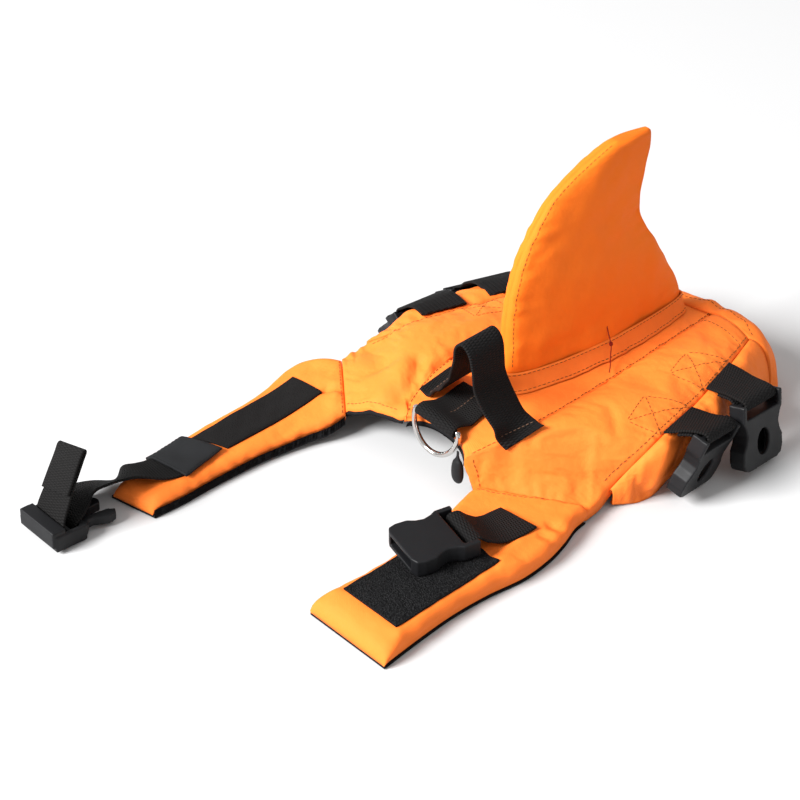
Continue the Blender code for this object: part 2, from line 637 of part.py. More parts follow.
def prism(name, outline, low, high, mat, matrix):
    """An outline in the buckle's own plane (w, l), given a thickness and placed."""
    pts = [(w, l, low) for w, l in outline] + [(w, l, high) for w, l in outline]
    n = len(outline)
    faces = [tuple(range(n - 1, -1, -1)), tuple(range(n, 2 * n))]
    faces += [(k, (k + 1) % n, n + (k + 1) % n, n + k) for k in range(n)]
    mesh = bpy.data.meshes.new(name)
    mesh.from_pydata(pts, [], faces)
    mesh.transform(Matrix.Scale(MM, 4))
    bm = bmesh.new()
    bm.from_mesh(mesh)
    if bm.calc_volume(signed=True) < 0:
        bmesh.ops.reverse_faces(bm, faces=bm.faces)
    bm.to_mesh(mesh)
    bm.free()
    if mat is not None:
        mesh.materials.append(mat)
    obj = bpy.data.objects.new(name, mesh)
    obj.matrix_world = matrix
    bpy.context.scene.collection.objects.link(obj)
    return obj


def rectangle(half_w, low_l, high_l):
    return [(-half_w, low_l), (half_w, low_l), (half_w, high_l), (-half_w, high_l)]


def mirrored(half, wide, long):
    """A whole outline from its half, widened and lengthened."""
    right = [(w * wide, l * long if l > 0 else l) for w, l in half]
    return right + [(-w, l) for w, l in reversed(right) if w > 0]


def buckle_matrix(bar, across, towards):
    """Placement: w along the bar, l from the bar to the mouth, origin on the bar's axis."""
    across = Vector(across).normalized()
    towards = Vector(towards)
    towards = (towards - across * towards.dot(across)).normalized()
    face = across.cross(towards)
    m = Matrix((across, towards, face)).transposed().to_4x4()
    m.translation = Vector(place(bar))
    return m


def open_bar(body, name, web, matrix):
    """Free the bar: a slot in front of it, and the webbing's room over and under it."""
    slot = web / 2 + 1.1
    front = BAR_HALF
    cut(body, prism(name + "_slot", rectangle(slot, front, 7.0), -20, 20, None, matrix))
    cut(body, prism(name + "_over", rectangle(slot, -6.0, front + 0.01), BAR_HALF, 20, None, matrix))
    cut(body, prism(name + "_under", rectangle(slot, -6.0, front + 0.01), -20, -BAR_HALF, None, matrix))


def female_buckle(name, bar, across, towards, web, long, mat, window=True):
    """Receiving half: bar and slot for the webbing, side notches, mouth and perhaps an oval window."""
    wide = (web + 8.0) / (WEB_NECK + 8.0)
    matrix = buckle_matrix(bar, across, towards)
    body = prism(name, mirrored(FEMALE_HALF, wide, long), -BUCKLE_HALF, BUCKLE_HALF, mat, matrix)
    open_bar(body, name, web, matrix)
    mouth = rectangle(11.0 * wide, 12.0 * long, 50.0)
    cut(body, prism(name + "_mouth", mouth, -2.9, 2.9, None, matrix))
    if window:
        turn = np.radians(np.arange(15, 360, 30))
        oval = [(5.2 * wide * math.cos(a), (23.5 + 7.8 * math.sin(a)) * long) for a in turn]
        cut(body, prism(name + "_window", oval, -20, 20, None, matrix))
    return body


def male_buckle(name, bar, across, towards, web, mat):
    """Entering half with a plain bar: two side prongs and a middle tongue."""
    wide = (web + 8.0) / (WEB_NECK + 8.0)
    matrix = buckle_matrix(bar, across, towards)
    body = prism(name, mirrored(MALE_HALF, wide, 1.0), -2.9, 2.9, mat, matrix)
    block = prism(name + "_block", rectangle(16.0 * wide, 7.0, 11.0), -4.4, 4.4, None, matrix)
    cut(body, block, "UNION")
    open_bar(body, name, web, matrix)
    return body


def adjuster_buckle(name, bar, across, towards, web, mat):
    """Entering half with an adjuster: a frame with a raised grip round the webbing's bar."""
    matrix = buckle_matrix(bar, across, towards)
    body = prism(name, mirrored(MALE_HALF, 1.0, 1.0), -2.6, 3.0, mat, matrix)
    frame = prism(name + "_frame", rectangle(16.2, -11.0, 8.6), -6.0, 3.6, None, matrix)
    grip = prism(name + "_grip", rectangle(15.4, -12.8, -4.4), -3.6, 6.6, None, matrix)
    cut(body, frame, "UNION")
    cut(body, grip, "UNION")
    room = prism(name + "_room", rectangle(web / 2 + 1.1, -4.4, 5.6), -4.4, 20, None, matrix)
    cut(body, room)
    middle = prism(name + "_bar", rectangle(web / 2 + 1.3, -BAR_HALF, BAR_HALF),
                   -BAR_HALF, BAR_HALF, None, matrix)
    cut(body, middle, "UNION")
    return body


def bar_loop(bar, run, across, lead, back):
    """Webbing path: the lead, over the bar, round it and back beneath the lead.

    `run` is the way the webbing arrives and `back` the points of its lower layer.
    """
    bar = np.asarray(bar, float)
    across = np.asarray(across, float) / np.linalg.norm(across)
    run = np.asarray(run, float)
    run = run - across * np.dot(run, across)
    run = run / np.linalg.norm(run)
    up = np.cross(across, run)
    up = up * (1.0 if up[2] > 0 else -1.0)
    turn = [bar + LOOP_RADIUS * (math.cos(a) * up + math.sin(a) * run) for a in np.linspace(0, math.pi, 9)]
    return np.array([*lead, *turn, *back], float)


def spread_side(first, last, count, tail):
    """The width's direction along a path: turning from `first` to `last`, then staying."""
    t = np.clip(np.linspace(0, 1.45, count), 0, 1)[:, None]
    turn = np.asarray(first, float) * (1 - t) + np.asarray(last, float) * t
    return np.vstack([turn, np.tile(np.asarray(last, float), (tail, 1))])


# Belly straps and their buckles.  The strap leaves the seam at `start` and turns round the
# bar; `axis` points from the bar to the buckle's free end.
#  name             start                  seam way            bar                     across                axis
NEAR_BELLY = {
    "near_front": ((159.4, 57.2, 40.9), (-0.13, 0.99, 0.0), (180.5, 64.0, 41.0), (-0.12, 0.93, -0.20), (-0.206, -0.30, -0.93)),
    "near_rear": ((149.6, 104.8, 42.3), (-0.21, 0.975, 0.0), (177.0, 103.5, 41.2), (-0.04, 0.99, -0.13), (0.24, -0.12, -0.965)),
}
FAR_BELLY = {
    "far_front": ((-5.9, 42.6, 42.2), (0.32, 0.947, 0.0), (-36.3, 51.0, 25.6), (0.13, 0.991, 0.0), (-0.60, 0.08, -0.795)),
    "far_rear": ((7.1, 87.2, 42.2), (0.33, 0.944, 0.0), (-34.0, 100.0, 19.0), (0.36, 0.933, 0.0), (-0.78, 0.30, -0.55)),
}
# Where the far straps run down the flap, between their start and their bar.
FAR_RUN = {
    "far_front": [(-11.6, 43.8, 42.6), (-18.4, 45.6, 41.8), (-24.6, 47.2, 39.0), (-30.0, 48.8, 34.9)],
    "far_rear": [(0.4, 89.2, 42.4), (-7.5, 91.5, 41.2), (-15.5, 93.8, 38.2), (-22.8, 96.0, 33.4),
                 (-28.3, 98.0, 27.4)],
}


def build_belly_strap(name, row, mat):
    """Webbing from the seam to the buckle: doubled and level, or single down the flap."""
    start, seam_way, bar, across, axis = row
    start, bar = np.array(start), np.array(bar)
    across = np.array(across) / np.linalg.norm(across)
    hanging = name in FAR_RUN
    if hanging:
        lead = [start] + [np.array(p) for p in FAR_RUN[name]]
        run = bar - lead[-1]
    else:
        run = (bar - start) * [1, 1, 0]
    run = run / np.linalg.norm(run)
    level = run - across * np.dot(run, across)
    up = np.cross(across, level / np.linalg.norm(level))
    up *= LOOP_RADIUS * np.sign(up[2])
    if hanging:
        lead.append(bar + up - run * 2.5)
        back = [bar - up - run * 2.5]
    else:
        end = bar + up - run * 3.0
        lead = [start + (end - start) * t for t in np.linspace(0, 1, 6)[:-1]]
        lead.append(bar + up - run * 2.5)
        back = [bar - up - run * 2.0]
        back += [lead[k] - [0, 0, WEB_THICK + 0.6] for k in (4, 3, 2)]
    path = bar_loop(bar, run, across, lead, back)
    count = len(lead)
    side = spread_side(seam_way, across, count, len(path) - count)
    if not hanging:
        side[-3:] = spread_side(seam_way, across, count, 0)[[4, 3, 2]]
    return strap("belly_strap_" + name, path, side, WEB_BODY, WEB_THICK, mat)


# ---------------------------------------------------------------- neck straps

NECK_BAR = (126.8, -77.0, 20.9)           # receiving buckle's bar, lying on the hook tape
NECK_AXIS = (-0.27, -0.96, 0.0)
HOOK_PATCH = [(111.0, -147.0), (149.5, -147.0), (151.5, -75.0), (112.0, -73.0)]
LOOP_STRIP = [(-45.0, -121.0), (-22.0, -113.0), (-19.5, -44.0), (-45.5, -44.0)]
KEEPER = [(-48.0, -151.0), (-17.0, -146.5), (-22.0, -117.0), (-49.0, -125.0)]
ADJUST_BAR = (-41.0, -216.5, 6.8)

# The neck webbing between the keeper and the adjuster: middle line and its width's way.
#    x       y       z       side
NECK_WEB = [
    (-32.0, -151.6, 12.6, 0.96, 0.22, 0.00),
    (-35.5, -158.5, 12.7, 0.95, 0.10, 0.08),
    (-41.5, -167.0, 13.4, 0.84, -0.20, 0.30),
    (-45.6, -176.0, 9.0, 0.60, -0.54, 0.56),
    (-48.2, -187.0, 10.6, 0.80, -0.44, 0.40),
    (-45.5, -198.0, 12.4, 0.96, -0.12, 0.12),
    (-42.0, -206.5, 12.0, 1.00, 0.00, 0.00),
]
WEB_TAIL = [(-41.2, -219.6, 11.0), (-41.9, -217.4, 16.0), (-43.8, -207.5, 30.0), (-46.0, -197.0, 44.0)]
TAIL_SIDE = (0.96, 0.02, 0.27)
HEM_LENGTH = 25.0


def build_neck_strap(mat, surface):
    """Short strap sewn on the near arm, turned round the receiving buckle's bar."""
    bar = np.array(NECK_BAR)
    run = np.array(NECK_AXIS) / np.linalg.norm(NECK_AXIS)
    across = np.cross(run, (0, 0, 1.0))
    lie = surface.height(134.0, -55.0) + SEAM_GAP + WEB_THICK / 2
    lead = [(135.0, -43.0, lie), (134.2, -50.0, lie), (133.2, -57.0, lie), (131.6, -63.0, lie + 1.0),
            (129.4, -69.5, lie + 5.0), (127.9, -73.6, bar[2] + LOOP_RADIUS)]
    back = [bar - [0, 0, LOOP_RADIUS] - run * 1.6]
    path = bar_loop(bar, run, across, lead, back)
    sides = spread_side((-1, -0.08, 0), across, len(lead), len(path) - len(lead))
    strap("neck_strap", path, sides, WEB_NECK, WEB_THICK, mat)


def build_neck_webbing(mat):
    """Webbing from the keeper, twisting, round the adjuster's bar and up to a folded end."""
    rows = smooth_curve(NECK_WEB)
    bar = np.array(ADJUST_BAR)
    radius = LOOP_RADIUS
    turn = np.array([bar + radius * np.array([0, math.cos(a), -math.sin(a)])
                     for a in np.linspace(0, math.pi, 9)])
    down = np.array([(-41.2, -210.6, 11.0), (-41.0, -212.6, 9.4)])
    rise = smooth_curve(WEB_TAIL)
    slope = (rise[-1] - rise[-2]) / np.linalg.norm(rise[-1] - rise[-2])
    out = np.cross(slope, (1.0, 0, 0))
    out *= -np.sign(out[1])
    offset = WEB_THICK / 2 + 0.25
    fold = [rise[-1] + slope * offset * math.sin(a) + out * offset * (1 - math.cos(a))
            for a in np.linspace(math.pi / 6, math.pi, 6)]
    hem = [fold[-1] - slope * HEM_LENGTH * t for t in (0.5, 1.0)]
    path = np.vstack([rows[:, :3], down, turn, rise, fold, hem])
    level = np.tile((1.0, 0, 0), (len(down) + len(turn), 1))
    lean = spread_side((1.0, 0, 0), TAIL_SIDE, len(rise), len(fold) + len(hem))
    strap("neck_webbing", path, np.vstack([rows[:, 3:6], level, lean]), WEB_NECK, WEB_THICK, mat)


# ---------------------------------------------------------------- assembly

def build_body(cloth, lining):
    near_pad, near_inner, near_outer, _ = build_pad("near_pad", NEAR_SIDE, cloth)
    far_pad, far_inner, far_outer, far_under = build_pad("far_pad", FAR_SIDE, cloth)
    build_flap("near_flap", near_outer, NEAR_HEM, cloth)
    build_flap("far_flap", far_outer, FAR_HEM, cloth)
    band, band_under = build_band(near_inner, far_inner, cloth)
    build_tail(near_outer, near_inner, far_inner, far_outer, cloth)
    free = NECK_ROW * STEPS
    build_lining("neck_lining_band", band_under[:4], lining)
    build_lining("neck_lining_far", far_under[:free, :3], lining)
    return near_pad, far_pad, band


def main():
    clear_scene()
    cloth = finish("orange_cloth", (0.95, 0.36, 0.06), 0.7)
    fin_cloth = finish("fin_cloth", (0.90, 0.27, 0.04), 0.7)
    lining = finish("black_lining", (0.02, 0.02, 0.022), 0.85)
    web = finish("black_webbing", (0.025, 0.024, 0.024), 0.8)
    tape = finish("black_tape", (0.02, 0.02, 0.021), 0.9)
    plastic = finish("black_plastic", (0.03, 0.03, 0.033), 0.4)
    nickel = finish("nickel", (0.75, 0.74, 0.72), 0.2, 1.0)

    near_pad, far_pad, band = build_body(cloth, lining)
    near_arm = build_arm("near_arm", NEAR_ARM, NEAR_ARM_FOAM, cloth, lining)
    far_arm = build_arm("far_arm", FAR_ARM, FAR_ARM_FOAM, cloth, lining)
    build_fin(fin_cloth)
    build_skirt(cloth, Surface(band))

    build_handle(web, Surface(near_pad, far_pad, band))
    build_ring_loop(web, Surface(band))
    build_ring(nickel)
    build_tab(plastic)

    for name, row in {**NEAR_BELLY, **FAR_BELLY}.items():
        build_belly_strap(name, row, web)
    for name, row in NEAR_BELLY.items():
        female_buckle("belly_buckle_" + name, row[2], row[3], row[4], WEB_BODY, 1.04, plastic)
    for name, row in FAR_BELLY.items():
        male_buckle("belly_buckle_" + name, row[2], row[3], row[4], WEB_BODY, plastic)

    on_near, on_far = Surface(near_arm), Surface(far_arm)
    plate_on("hook_patch", HOOK_PATCH, on_near, TAPE_THICK, tape, (4, 3), 0.9)
    plate_on("loop_strip", LOOP_STRIP, on_far, TAPE_THICK, tape, (3, 8))
    plate_on("keeper_patch", KEEPER, on_far, WEB_THICK, web, (4, 3), 1.3)
    build_neck_strap(web, on_near)
    across = np.cross(NECK_AXIS, (0, 0, 1.0))
    female_buckle("neck_buckle_female", NECK_BAR, across, NECK_AXIS, WEB_NECK, 1.0, plastic, False)
    build_neck_webbing(web)
    adjuster_buckle("neck_buckle_male", ADJUST_BAR, (1, 0, 0), (0, 1, -0.08), WEB_NECK, plastic)


main()
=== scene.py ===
"""Cloth, webbing, buckles and studio for the padded dog life jacket.

Lengths in the tables are millimetres on the surface that the jacket lies on: +X to the near
side, +Y from the neck to the tail, +Z up.  Every piece is made there and then moved to the
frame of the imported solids, in metres, by to_frame().
"""

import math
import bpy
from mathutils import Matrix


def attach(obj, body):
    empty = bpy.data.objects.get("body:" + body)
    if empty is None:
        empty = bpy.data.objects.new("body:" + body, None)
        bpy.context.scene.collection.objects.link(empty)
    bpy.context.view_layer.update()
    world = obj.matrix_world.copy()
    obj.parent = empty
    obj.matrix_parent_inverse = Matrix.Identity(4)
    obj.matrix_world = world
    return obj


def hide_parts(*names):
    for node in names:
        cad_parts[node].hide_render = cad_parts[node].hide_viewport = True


bl_info = {
    "name": "Dog life jacket",
    "version": (1, 0, 0),
    "blender": (4, 5, 0),
    "location": "View3D > Sidebar > Jacket",
    "description": "Sews the cloth, webbing and buckles of a padded dog life jacket over its solids",
    "category": "Object",
}

import bmesh
import bpy
import numpy as np
from bpy.props import FloatProperty, FloatVectorProperty, PointerProperty
from bpy.types import Operator, Panel, PropertyGroup
from mathutils import Vector
from mathutils.bvhtree import BVHTree

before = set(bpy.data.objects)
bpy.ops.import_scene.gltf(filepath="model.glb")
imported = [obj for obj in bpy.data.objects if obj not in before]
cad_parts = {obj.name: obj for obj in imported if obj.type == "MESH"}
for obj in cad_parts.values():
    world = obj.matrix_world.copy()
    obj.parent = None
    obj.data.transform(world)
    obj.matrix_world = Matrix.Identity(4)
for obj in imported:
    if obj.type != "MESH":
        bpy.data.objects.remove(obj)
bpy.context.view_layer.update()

MM = 0.001
ORIGIN = np.array([63.96, -21.63, 0.0])
UP = np.array([0.0, 0.0, 1.0])
LEVEL = np.array([1.0, 1.0, 0.0])
SKY = 400.0                    # height from which points are dropped onto finished pieces
JACKET = "jacket"
MADE = {}                      # finished pieces and grids that later pieces are laid on

STEPS = 14                     # grid rows for each row of a panel's table
NECK_ROW = 2                   # row of the pads' tables where the band and the flaps begin
PAD_COLUMNS = 46
FAR_SEED = 31
SEAM_GAP = 0.35
PAD_INNER_EDGE = 4.0           # a pad's thickness at its channel
PAD_SIDE = 13.5                # depth of a pad's side, below which a flap may lie further in
LEAST_WALL = 1.2
BAND_THICK = 3.5
NEAR_ARM_FOAM = 11.4
FAR_ARM_FOAM = 8.9
ARM_CORNER = 4.6               # width of an arm's rounded upper edge
ARM_WALL = 0.86                # foot of an arm's orange sides, as a share of its foam
ARM_LAP = 0.42
SWELL_FRAMES = 14
CLOTH_SLACK = 0.007

WEB_THICK = 1.6
WEB_CROWN = WEB_THICK / 2 + 0.05
WEB_BODY = 30.0
WEB_HANDLE = 25.0
WEB_RING = 28.0
WEB_NECK = 25.0
WEB_STITCH = (1.9, 0.7, 0.45)  # length, space and thickness of a stitch on webbing
STITCH_SUNK = 0.05

KEY_PLACE, KEY_SIZE = (-1.45, -4.20, 3.10), 2.2
FILL_PLACE, FILL_SIZE = (0.9, 0.6, 1.5), 1.6
CAMERA_TURN, CAMERA_RISE, CAMERA_FIELD = 46.0, 36.0, 25.5
CAMERA_FAR = 1.05

# ---------------------------------------------------------------- tables of the jacket's shape

# channel x, y, z, seam x, y, z, rise of the crown, thickness at the seam; from neck to tail
NEAR_SIDE = [
    (98, -39.5, 12, 152, -7, 10, 1.5, 8), (95.5, -40.5, 21, 151, 5, 10, 3, 8),
    (92.5, -41, 29.5, 150, 14, 12, 5, 7), (97.5, -33, 36, 153, 21, 20, 5, 5),
    (103, -19, 41, 157.5, 28, 30, 5, 4), (108, 0, 44, 160, 37, 37, 4.5, 4),
    (110, 25, 45, 159, 51, 39.5, 4, 4), (110, 57, 45, 156, 73, 40, 4, 4),
    (109.5, 88, 45, 151.5, 97, 41, 4, 4), (108.5, 119, 45, 145.5, 122, 41, 4, 4),
    (107, 152, 44.5, 138, 149, 41, 3, 4),
]
FAR_SIDE = [
    (3, -46, 19, -33, -16, 22, 1.5, 6), (22.5, -42.5, 27.5, -31, -7, 24, 3, 5),
    (44.5, -39.5, 32, -28, 1, 28, 4, 5), (40, -31.5, 36.5, -22, 8, 32, 4, 4),
    (36, -18, 41, -17, 14, 36, 4, 4), (33, 3, 44, -12, 22, 39, 4, 4), (35, 25, 45, -7, 34, 41, 4, 4),
    (42, 55, 45, 2, 61, 41, 4, 4), (50, 86, 45, 11, 88, 41, 4, 4), (58, 116, 45, 22, 115, 41, 4, 4),
    (66, 146, 44.5, 36, 142, 41, 3, 4),
]
# hem x, y, z, swell, facing in degrees; from neck to tail
NEAR_HEM = [
    (153, 14, 2, 0.5, -10), (157, 21, 1, 2, -20), (160.5, 29, 0, 4.5, -16), (161.5, 40, 0, 7.5, -4),
    (158, 60, 0, 9, 3), (160, 76, 0, 9, 6), (159, 98, 0, 9, 8), (156, 122, 0, 8, 12),
    (151, 158, 0, 0, 35),
]
FAR_HEM = [
    (-30, 2, 12, 1.5, 180), (-32, 12, 4, 3, 178), (-33.5, 21, 1, 4, 176), (-33.5, 32, 0, 4.5, 174),
    (-32.5, 46, 0, 5, 173), (-30, 67, 0, 8, 172), (-26.5, 92, 0, 10.5, 168), (-17, 119, 0, 10, 160),
    (9.5, 153, 0, 0, 138),
]
# x, y; from the near side round to the far one
TAIL_HEM = [
    (151.5, 159.5), (149, 169), (140, 178), (124, 184), (104, 186), (84, 186), (64, 183.5), (44, 178),
    (25, 168.5), (10.2, 155),
]
# outer x, y, z, inner x, y, z; from the pad to the tip
NEAR_ARM = [
    (151.9, -7.6, 13, 98.2, -40, 13), (153, -17, 13, 99, -48, 13), (157, -30, 13, 101.5, -57, 13),
    (160, -45, 13, 104.5, -68, 13), (160.5, -65, 13, 106.5, -84, 13), (156.5, -88, 13, 107.5, -102, 13),
    (154.5, -112, 13, 107.5, -121, 13), (155, -137, 13, 106, -141, 13),
    (156.5, -162, 13, 102.5, -162, 13),
]
FAR_ARM = [
    (-33.3, -16.6, 22, 2.7, -46.6, 19), (-43, -21.5, 21, 1.8, -53, 17), (-53, -29, 17, -0.5, -60, 15),
    (-56.5, -41, 13.5, -4.5, -69, 13.5), (-53.5, -57, 11.5, -8, -82, 12),
    (-51, -77, 11, -11, -99, 11.5), (-51, -100, 10.6, -12.5, -116, 11),
    (-49.5, -126, 10.6, -13.5, -134, 10.6), (-46, -152, 10.6, -13.5, -153, 10.5),
    (-42.5, -178, 10.5, -15, -172.5, 10.5),
]

# leading edge's and trailing edge's distance from the front foot, z, half thickness
FIN_LEVELS = [
    (1.5, 134.8, 44.6, 11.5), (1, 135.3, 53, 11.5), (0.8, 133, 61, 11), (1, 127.5, 71, 10.5),
    (1.2, 119.5, 84, 10), (2.8, 111, 98, 9.3), (5.6, 102.5, 110, 8.6), (9.2, 96.5, 121, 8),
    (15, 95.5, 132, 7.3), (21.5, 96.5, 142, 6.6), (29, 98, 151, 6), (41, 99.5, 159, 5.4),
    (53, 99.8, 165, 4.8), (62, 99.5, 168.8, 4.4), (68.5, 98.8, 171.2, 3.6), (73, 97.5, 172.5, 2.2),
]
FIN_FRONT = (71.0, 10.0)
FIN_BACK = (87.0, 141.0)

# x, y, z of the handle's middle line between its sewn ends
HANDLE_RISE = [
    (104, -18.5, 50), (98, -20.5, 59), (92.8, -23, 72), (92.2, -24.3, 84), (90, -24.5, 94),
    (84.5, -24.5, 98.2), (80, -24.3, 94), (78, -23.5, 85), (73.5, -21.5, 74), (68.5, -18.5, 63.5),
    (60.5, -15.5, 53.5), (53, -13, 47),
]
HANDLE_NEAR_END = [(112.5, -15.0), (108.5, -16.0)]
HANDLE_FAR_END = [(47.0, -11.5), (39.5, -10.5)]
HANDLE_NEAR_WAY = (0.45, 0.89)
RING_BAR = (67.4, -36.8, 40.2)
RING_BAR_WAY = (0.985, 0.06, -0.12)
RING_HANG = (0.0, -0.08, -1.0)
RING_DEPTH = 22.0
RING_WIRE = 3.2
TAB_X = 87.2
TAB_Y = -40.6
# z, radius
TAB_LEVELS = [
    (31.5, 0.9), (28.5, 0.95), (26.2, 1.9), (24, 3.3), (20, 4.15), (15, 4.15), (12, 3.3), (10.5, 1.9),
    (10, 0.5),
]

BAR_HALF = 1.4
LOOP_RADIUS = BAR_HALF * math.sqrt(2) + SEAM_GAP + WEB_THICK / 2
BELLY = {                      # sewn spot, seam's direction, buckle's bar, bar's direction
    "near_front": ((159.4, 57.2, 40.9), (-0.13, 0.99, 0.0), (180.5, 64.0, 41.0), (-0.12, 0.93, -0.20)),
    "near_rear": ((149.6, 104.8, 42.3), (-0.21, 0.975, 0.0), (177.0, 103.5, 41.2), (-0.04, 0.99, -0.13)),
    "far_front": ((-5.9, 42.6, 42.2), (0.32, 0.947, 0.0), (-36.3, 51.0, 25.6), (0.13, 0.991, 0.0)),
    "far_rear": ((7.1, 87.2, 42.2), (0.33, 0.944, 0.0), (-34.0, 100.0, 19.0), (0.36, 0.933, 0.0)),
}
FAR_RUN = {                    # where the far straps lie between the seam and the bar
    "far_front": [(-11.6, 43.8, 42.6), (-18.4, 45.6, 41.8), (-24.6, 47.2, 39.0), (-30.0, 48.8, 34.9)],
    "far_rear": [(0.4, 89.2, 42.4), (-7.5, 91.5, 41.2), (-15.5, 93.8, 38.2), (-22.8, 96.0, 33.4),
                 (-28.3, 98.0, 27.4)],
}

NECK_BAR = (126.8, -77.0, 20.9)
NECK_AXIS = (-0.27, -0.96, 0.0)
PATCHES = [                    # corners in plan, lies on, thick, finish, slot, lift, cells, bulge, seed
    ("hook_tape", "hook_patch", [(111, -147), (149.5, -147), (151.5, -75), (112, -73)],
     ["near_arm"], 1.3, "hook", "black_tape", 0.15, (34, 60), 0.1, 151),
    ("loop_tape", "loop_strip", [(-45, -121), (-22, -113), (-19.5, -44), (-45.5, -44)],
     ["far_arm"], 1.3, "loop", "black_tape", 0.15, (26, 60), 0.15, 153),
    ("keeper_webbing", "keeper_patch", [(-48, -151), (-17, -146.5), (-22, -117), (-49, -125)],
     ["far_arm", "loop_tape"], 1.5, "patch", "black_webbing", 2.0, (36, 34), 0.4, 155),
]
ADJUST_BAR = (-41.0, -216.5, 6.8)
# x, y, z and the width's direction
NECK_WEB = [
    (-32.5, -139, 11.7, 0.97, 0.18, 0), (-32.5, -146, 11.7, 0.97, 0.2, 0),
    (-32.6, -151.6, 12.3, 0.96, 0.22, 0), (-35.5, -158.5, 12.7, 0.95, 0.1, 0.08),
    (-41.5, -167, 13.4, 0.84, -0.2, 0.3), (-45.6, -176, 9, 0.6, -0.54, 0.56),
    (-48.2, -187, 10.6, 0.8, -0.44, 0.4), (-45.5, -198, 12.4, 0.96, -0.12, 0.12),
    (-42, -206.5, 12, 1, 0, 0),
]
WEB_TAIL = [(-41.2, -219.6, 11.0), (-41.9, -217.4, 16.0), (-43.8, -207.5, 30.0), (-46.0, -197.0, 44.0)]
TAIL_SIDE = (0.96, 0.02, 0.27)
HEM_LENGTH = 25.0

# Sewn lines in plan, and the loose thread
BOXES = [
    ((127, 104), (133, 81), (152, 89), (145, 120)), ((137, 55), (143, 33), (160, 42), (156, 72)),
    ((24, 66), (18, 44), (0, 50), (5, 70)), ((34, 106), (28, 84), (12, 92), (17, 110)),
]
ROOT_LINE = [(99, -39), (108, -37), (127, -25), (139, -14), (151, -7.5)]
FAR_ROOT_LINE = [(-33.0, -18.4), (2.6, -48.2)]
RED_THREAD = [
    (90.5, 76, 61), (93, 75, 57), (96, 73.5, 54), (98, 72, 51.5), (99.5, 70, 49), (102, 67, 47.4),
    (105, 63.5, 46), (108.5, 58.5, 46.4),
]
RED_RADIUS = 0.33

# Soft folds, listed: from x y to x y, how wide, how deep (below zero is a ridge)
NEAR_FOLDS = [
    (151, -3, 130, -19, 6, 1.6), (155, 3, 138, -3, 7, 1.6), (156, 20, 140, 8, 7, -1.2),
    (156, 38, 140, 24, 6, 0.9), (104, -22, 122, -30, 5, 0.9), (100, -34, 118, -18, 6, -0.9),
    (156, 84, 138, 80, 7, 0.9), (142, 140, 120, 128, 9, 0.8),
]
FAR_FOLDS = [
    (21, -3, 33, -33, 4.6, 4.2), (12, -10, 20, -38, 6, -1.8), (30, -14, 40, -34, 3.8, 2.4),
    (-24, -2, 4, -18, 8, 2.4), (-6, -28, 10, -10, 5, 1.2), (2, 46, 18, 36, 6, 0.8),
    (-16, 16, 8, 22, 7, -0.9),
]
NEAR_ARM_FOLDS = [
    (147, -80, 141, -58, 3.2, 1.6), (152, -76, 148, -52, 3.6, -0.9), (158, -27, 148, -34, 3.4, 2),
    (163, -36, 150, -43, 3.2, 1.6), (112, -60, 124, -44, 5, 0.8), (108, -100, 116, -70, 4, 0.7),
    (154, -152, 132, -156, 5, 0.6),
]
FAR_ARM_FOLDS = [
    (-21, -42, -8, -36, 3.6, 2.4), (-20, -34, -4, -50, 4, -1.2), (-44, -34, -28, -30, 5, 1),
    (-14, -66, -10, -96, 4, 0.7), (-40, -160, -26, -166, 6, 2), (-48, -140, -44, -100, 4, 0.6),
]
# The same along the seam and down from it, and from the fin's front foot and up
FLAP_FOLDS = [
    (16, 6, 30, 36, 4, 1.8), (38, 4, 30, 30, 3.5, -1.4), (60, 8, 74, 38, 4.5, 2),
    (86, 6, 76, 32, 4, -1.2), (98, 6, 114, 38, 4.5, 1.8), (120, 8, 126, 30, 4, 1.4),
]
FIN_FOLDS = [
    (12, 118, 30, 130, 3.5, 0.9), (88, 150, 60, 128, 7, 1.3), (98, 120, 70, 112, 6, 0.9),
    (128, 72, 92, 88, 7, 0.9), (78, 168, 62, 152, 4, 1), (20, 60, 70, 66, 6, 0.8),
]


# ---------------------------------------------------------------- numbers to shapes

def to_frame(points):
    """Table millimetres moved to the solids' origin and turned to metres."""
    return (np.asarray(points, float) - ORIGIN) * MM


def smooth_curve(rows, steps):
    """Each stretch is the cubic whose slope at a row is half the way between its neighbours."""
    pts = np.asarray(rows, float)
    ends = np.vstack([2 * pts[0] - pts[1], pts, 2 * pts[-1] - pts[-2]])
    t = (np.arange(steps) / steps)[:, None]
    p0, p1, p2, p3 = (ends[k:len(pts) - 1 + k, None] for k in range(4))
    body = 0.5 * (2 * p1 + (p2 - p0) * t + (2 * p0 - 5 * p1 + 4 * p2 - p3) * t ** 2
                  + (3 * p1 - p0 - 3 * p2 + p3) * t ** 3)
    return np.vstack([body.reshape(-1, pts.shape[1]), pts[-1:]])


def walk_along(points):
    """Distance walked along a line of points, from its start."""
    return np.concatenate([[0.0], np.cumsum(np.linalg.norm(np.diff(points[:, :3], axis=0), axis=1))])


def walk_across(grid):
    """Distance walked across each row of a grid, from its first column."""
    return np.cumsum(np.linalg.norm(np.diff(grid, axis=1, prepend=grid[:, :1]), axis=2), axis=1)


def stations(points, count):
    """`count` points the same walk apart along a line, with every column carried along."""
    walk = walk_along(points)
    where = np.linspace(0, walk[-1], count)
    return np.stack([np.interp(where, walk, column) for column in points.T], axis=1)


def evenly(points, gap):
    """Stations about `gap` apart along a line."""
    points = np.asarray(points, float)
    return stations(points, max(4, int(round(walk_along(points)[-1] / gap)) + 1))


def relaxed(points, passes):
    """A line whose inner points moved to the mean of themselves and their neighbours."""
    out = points.copy()
    for _ in range(passes):
        out[1:-1] = (out[:-2] + 2 * out[1:-1] + out[2:]) / 4
    return out


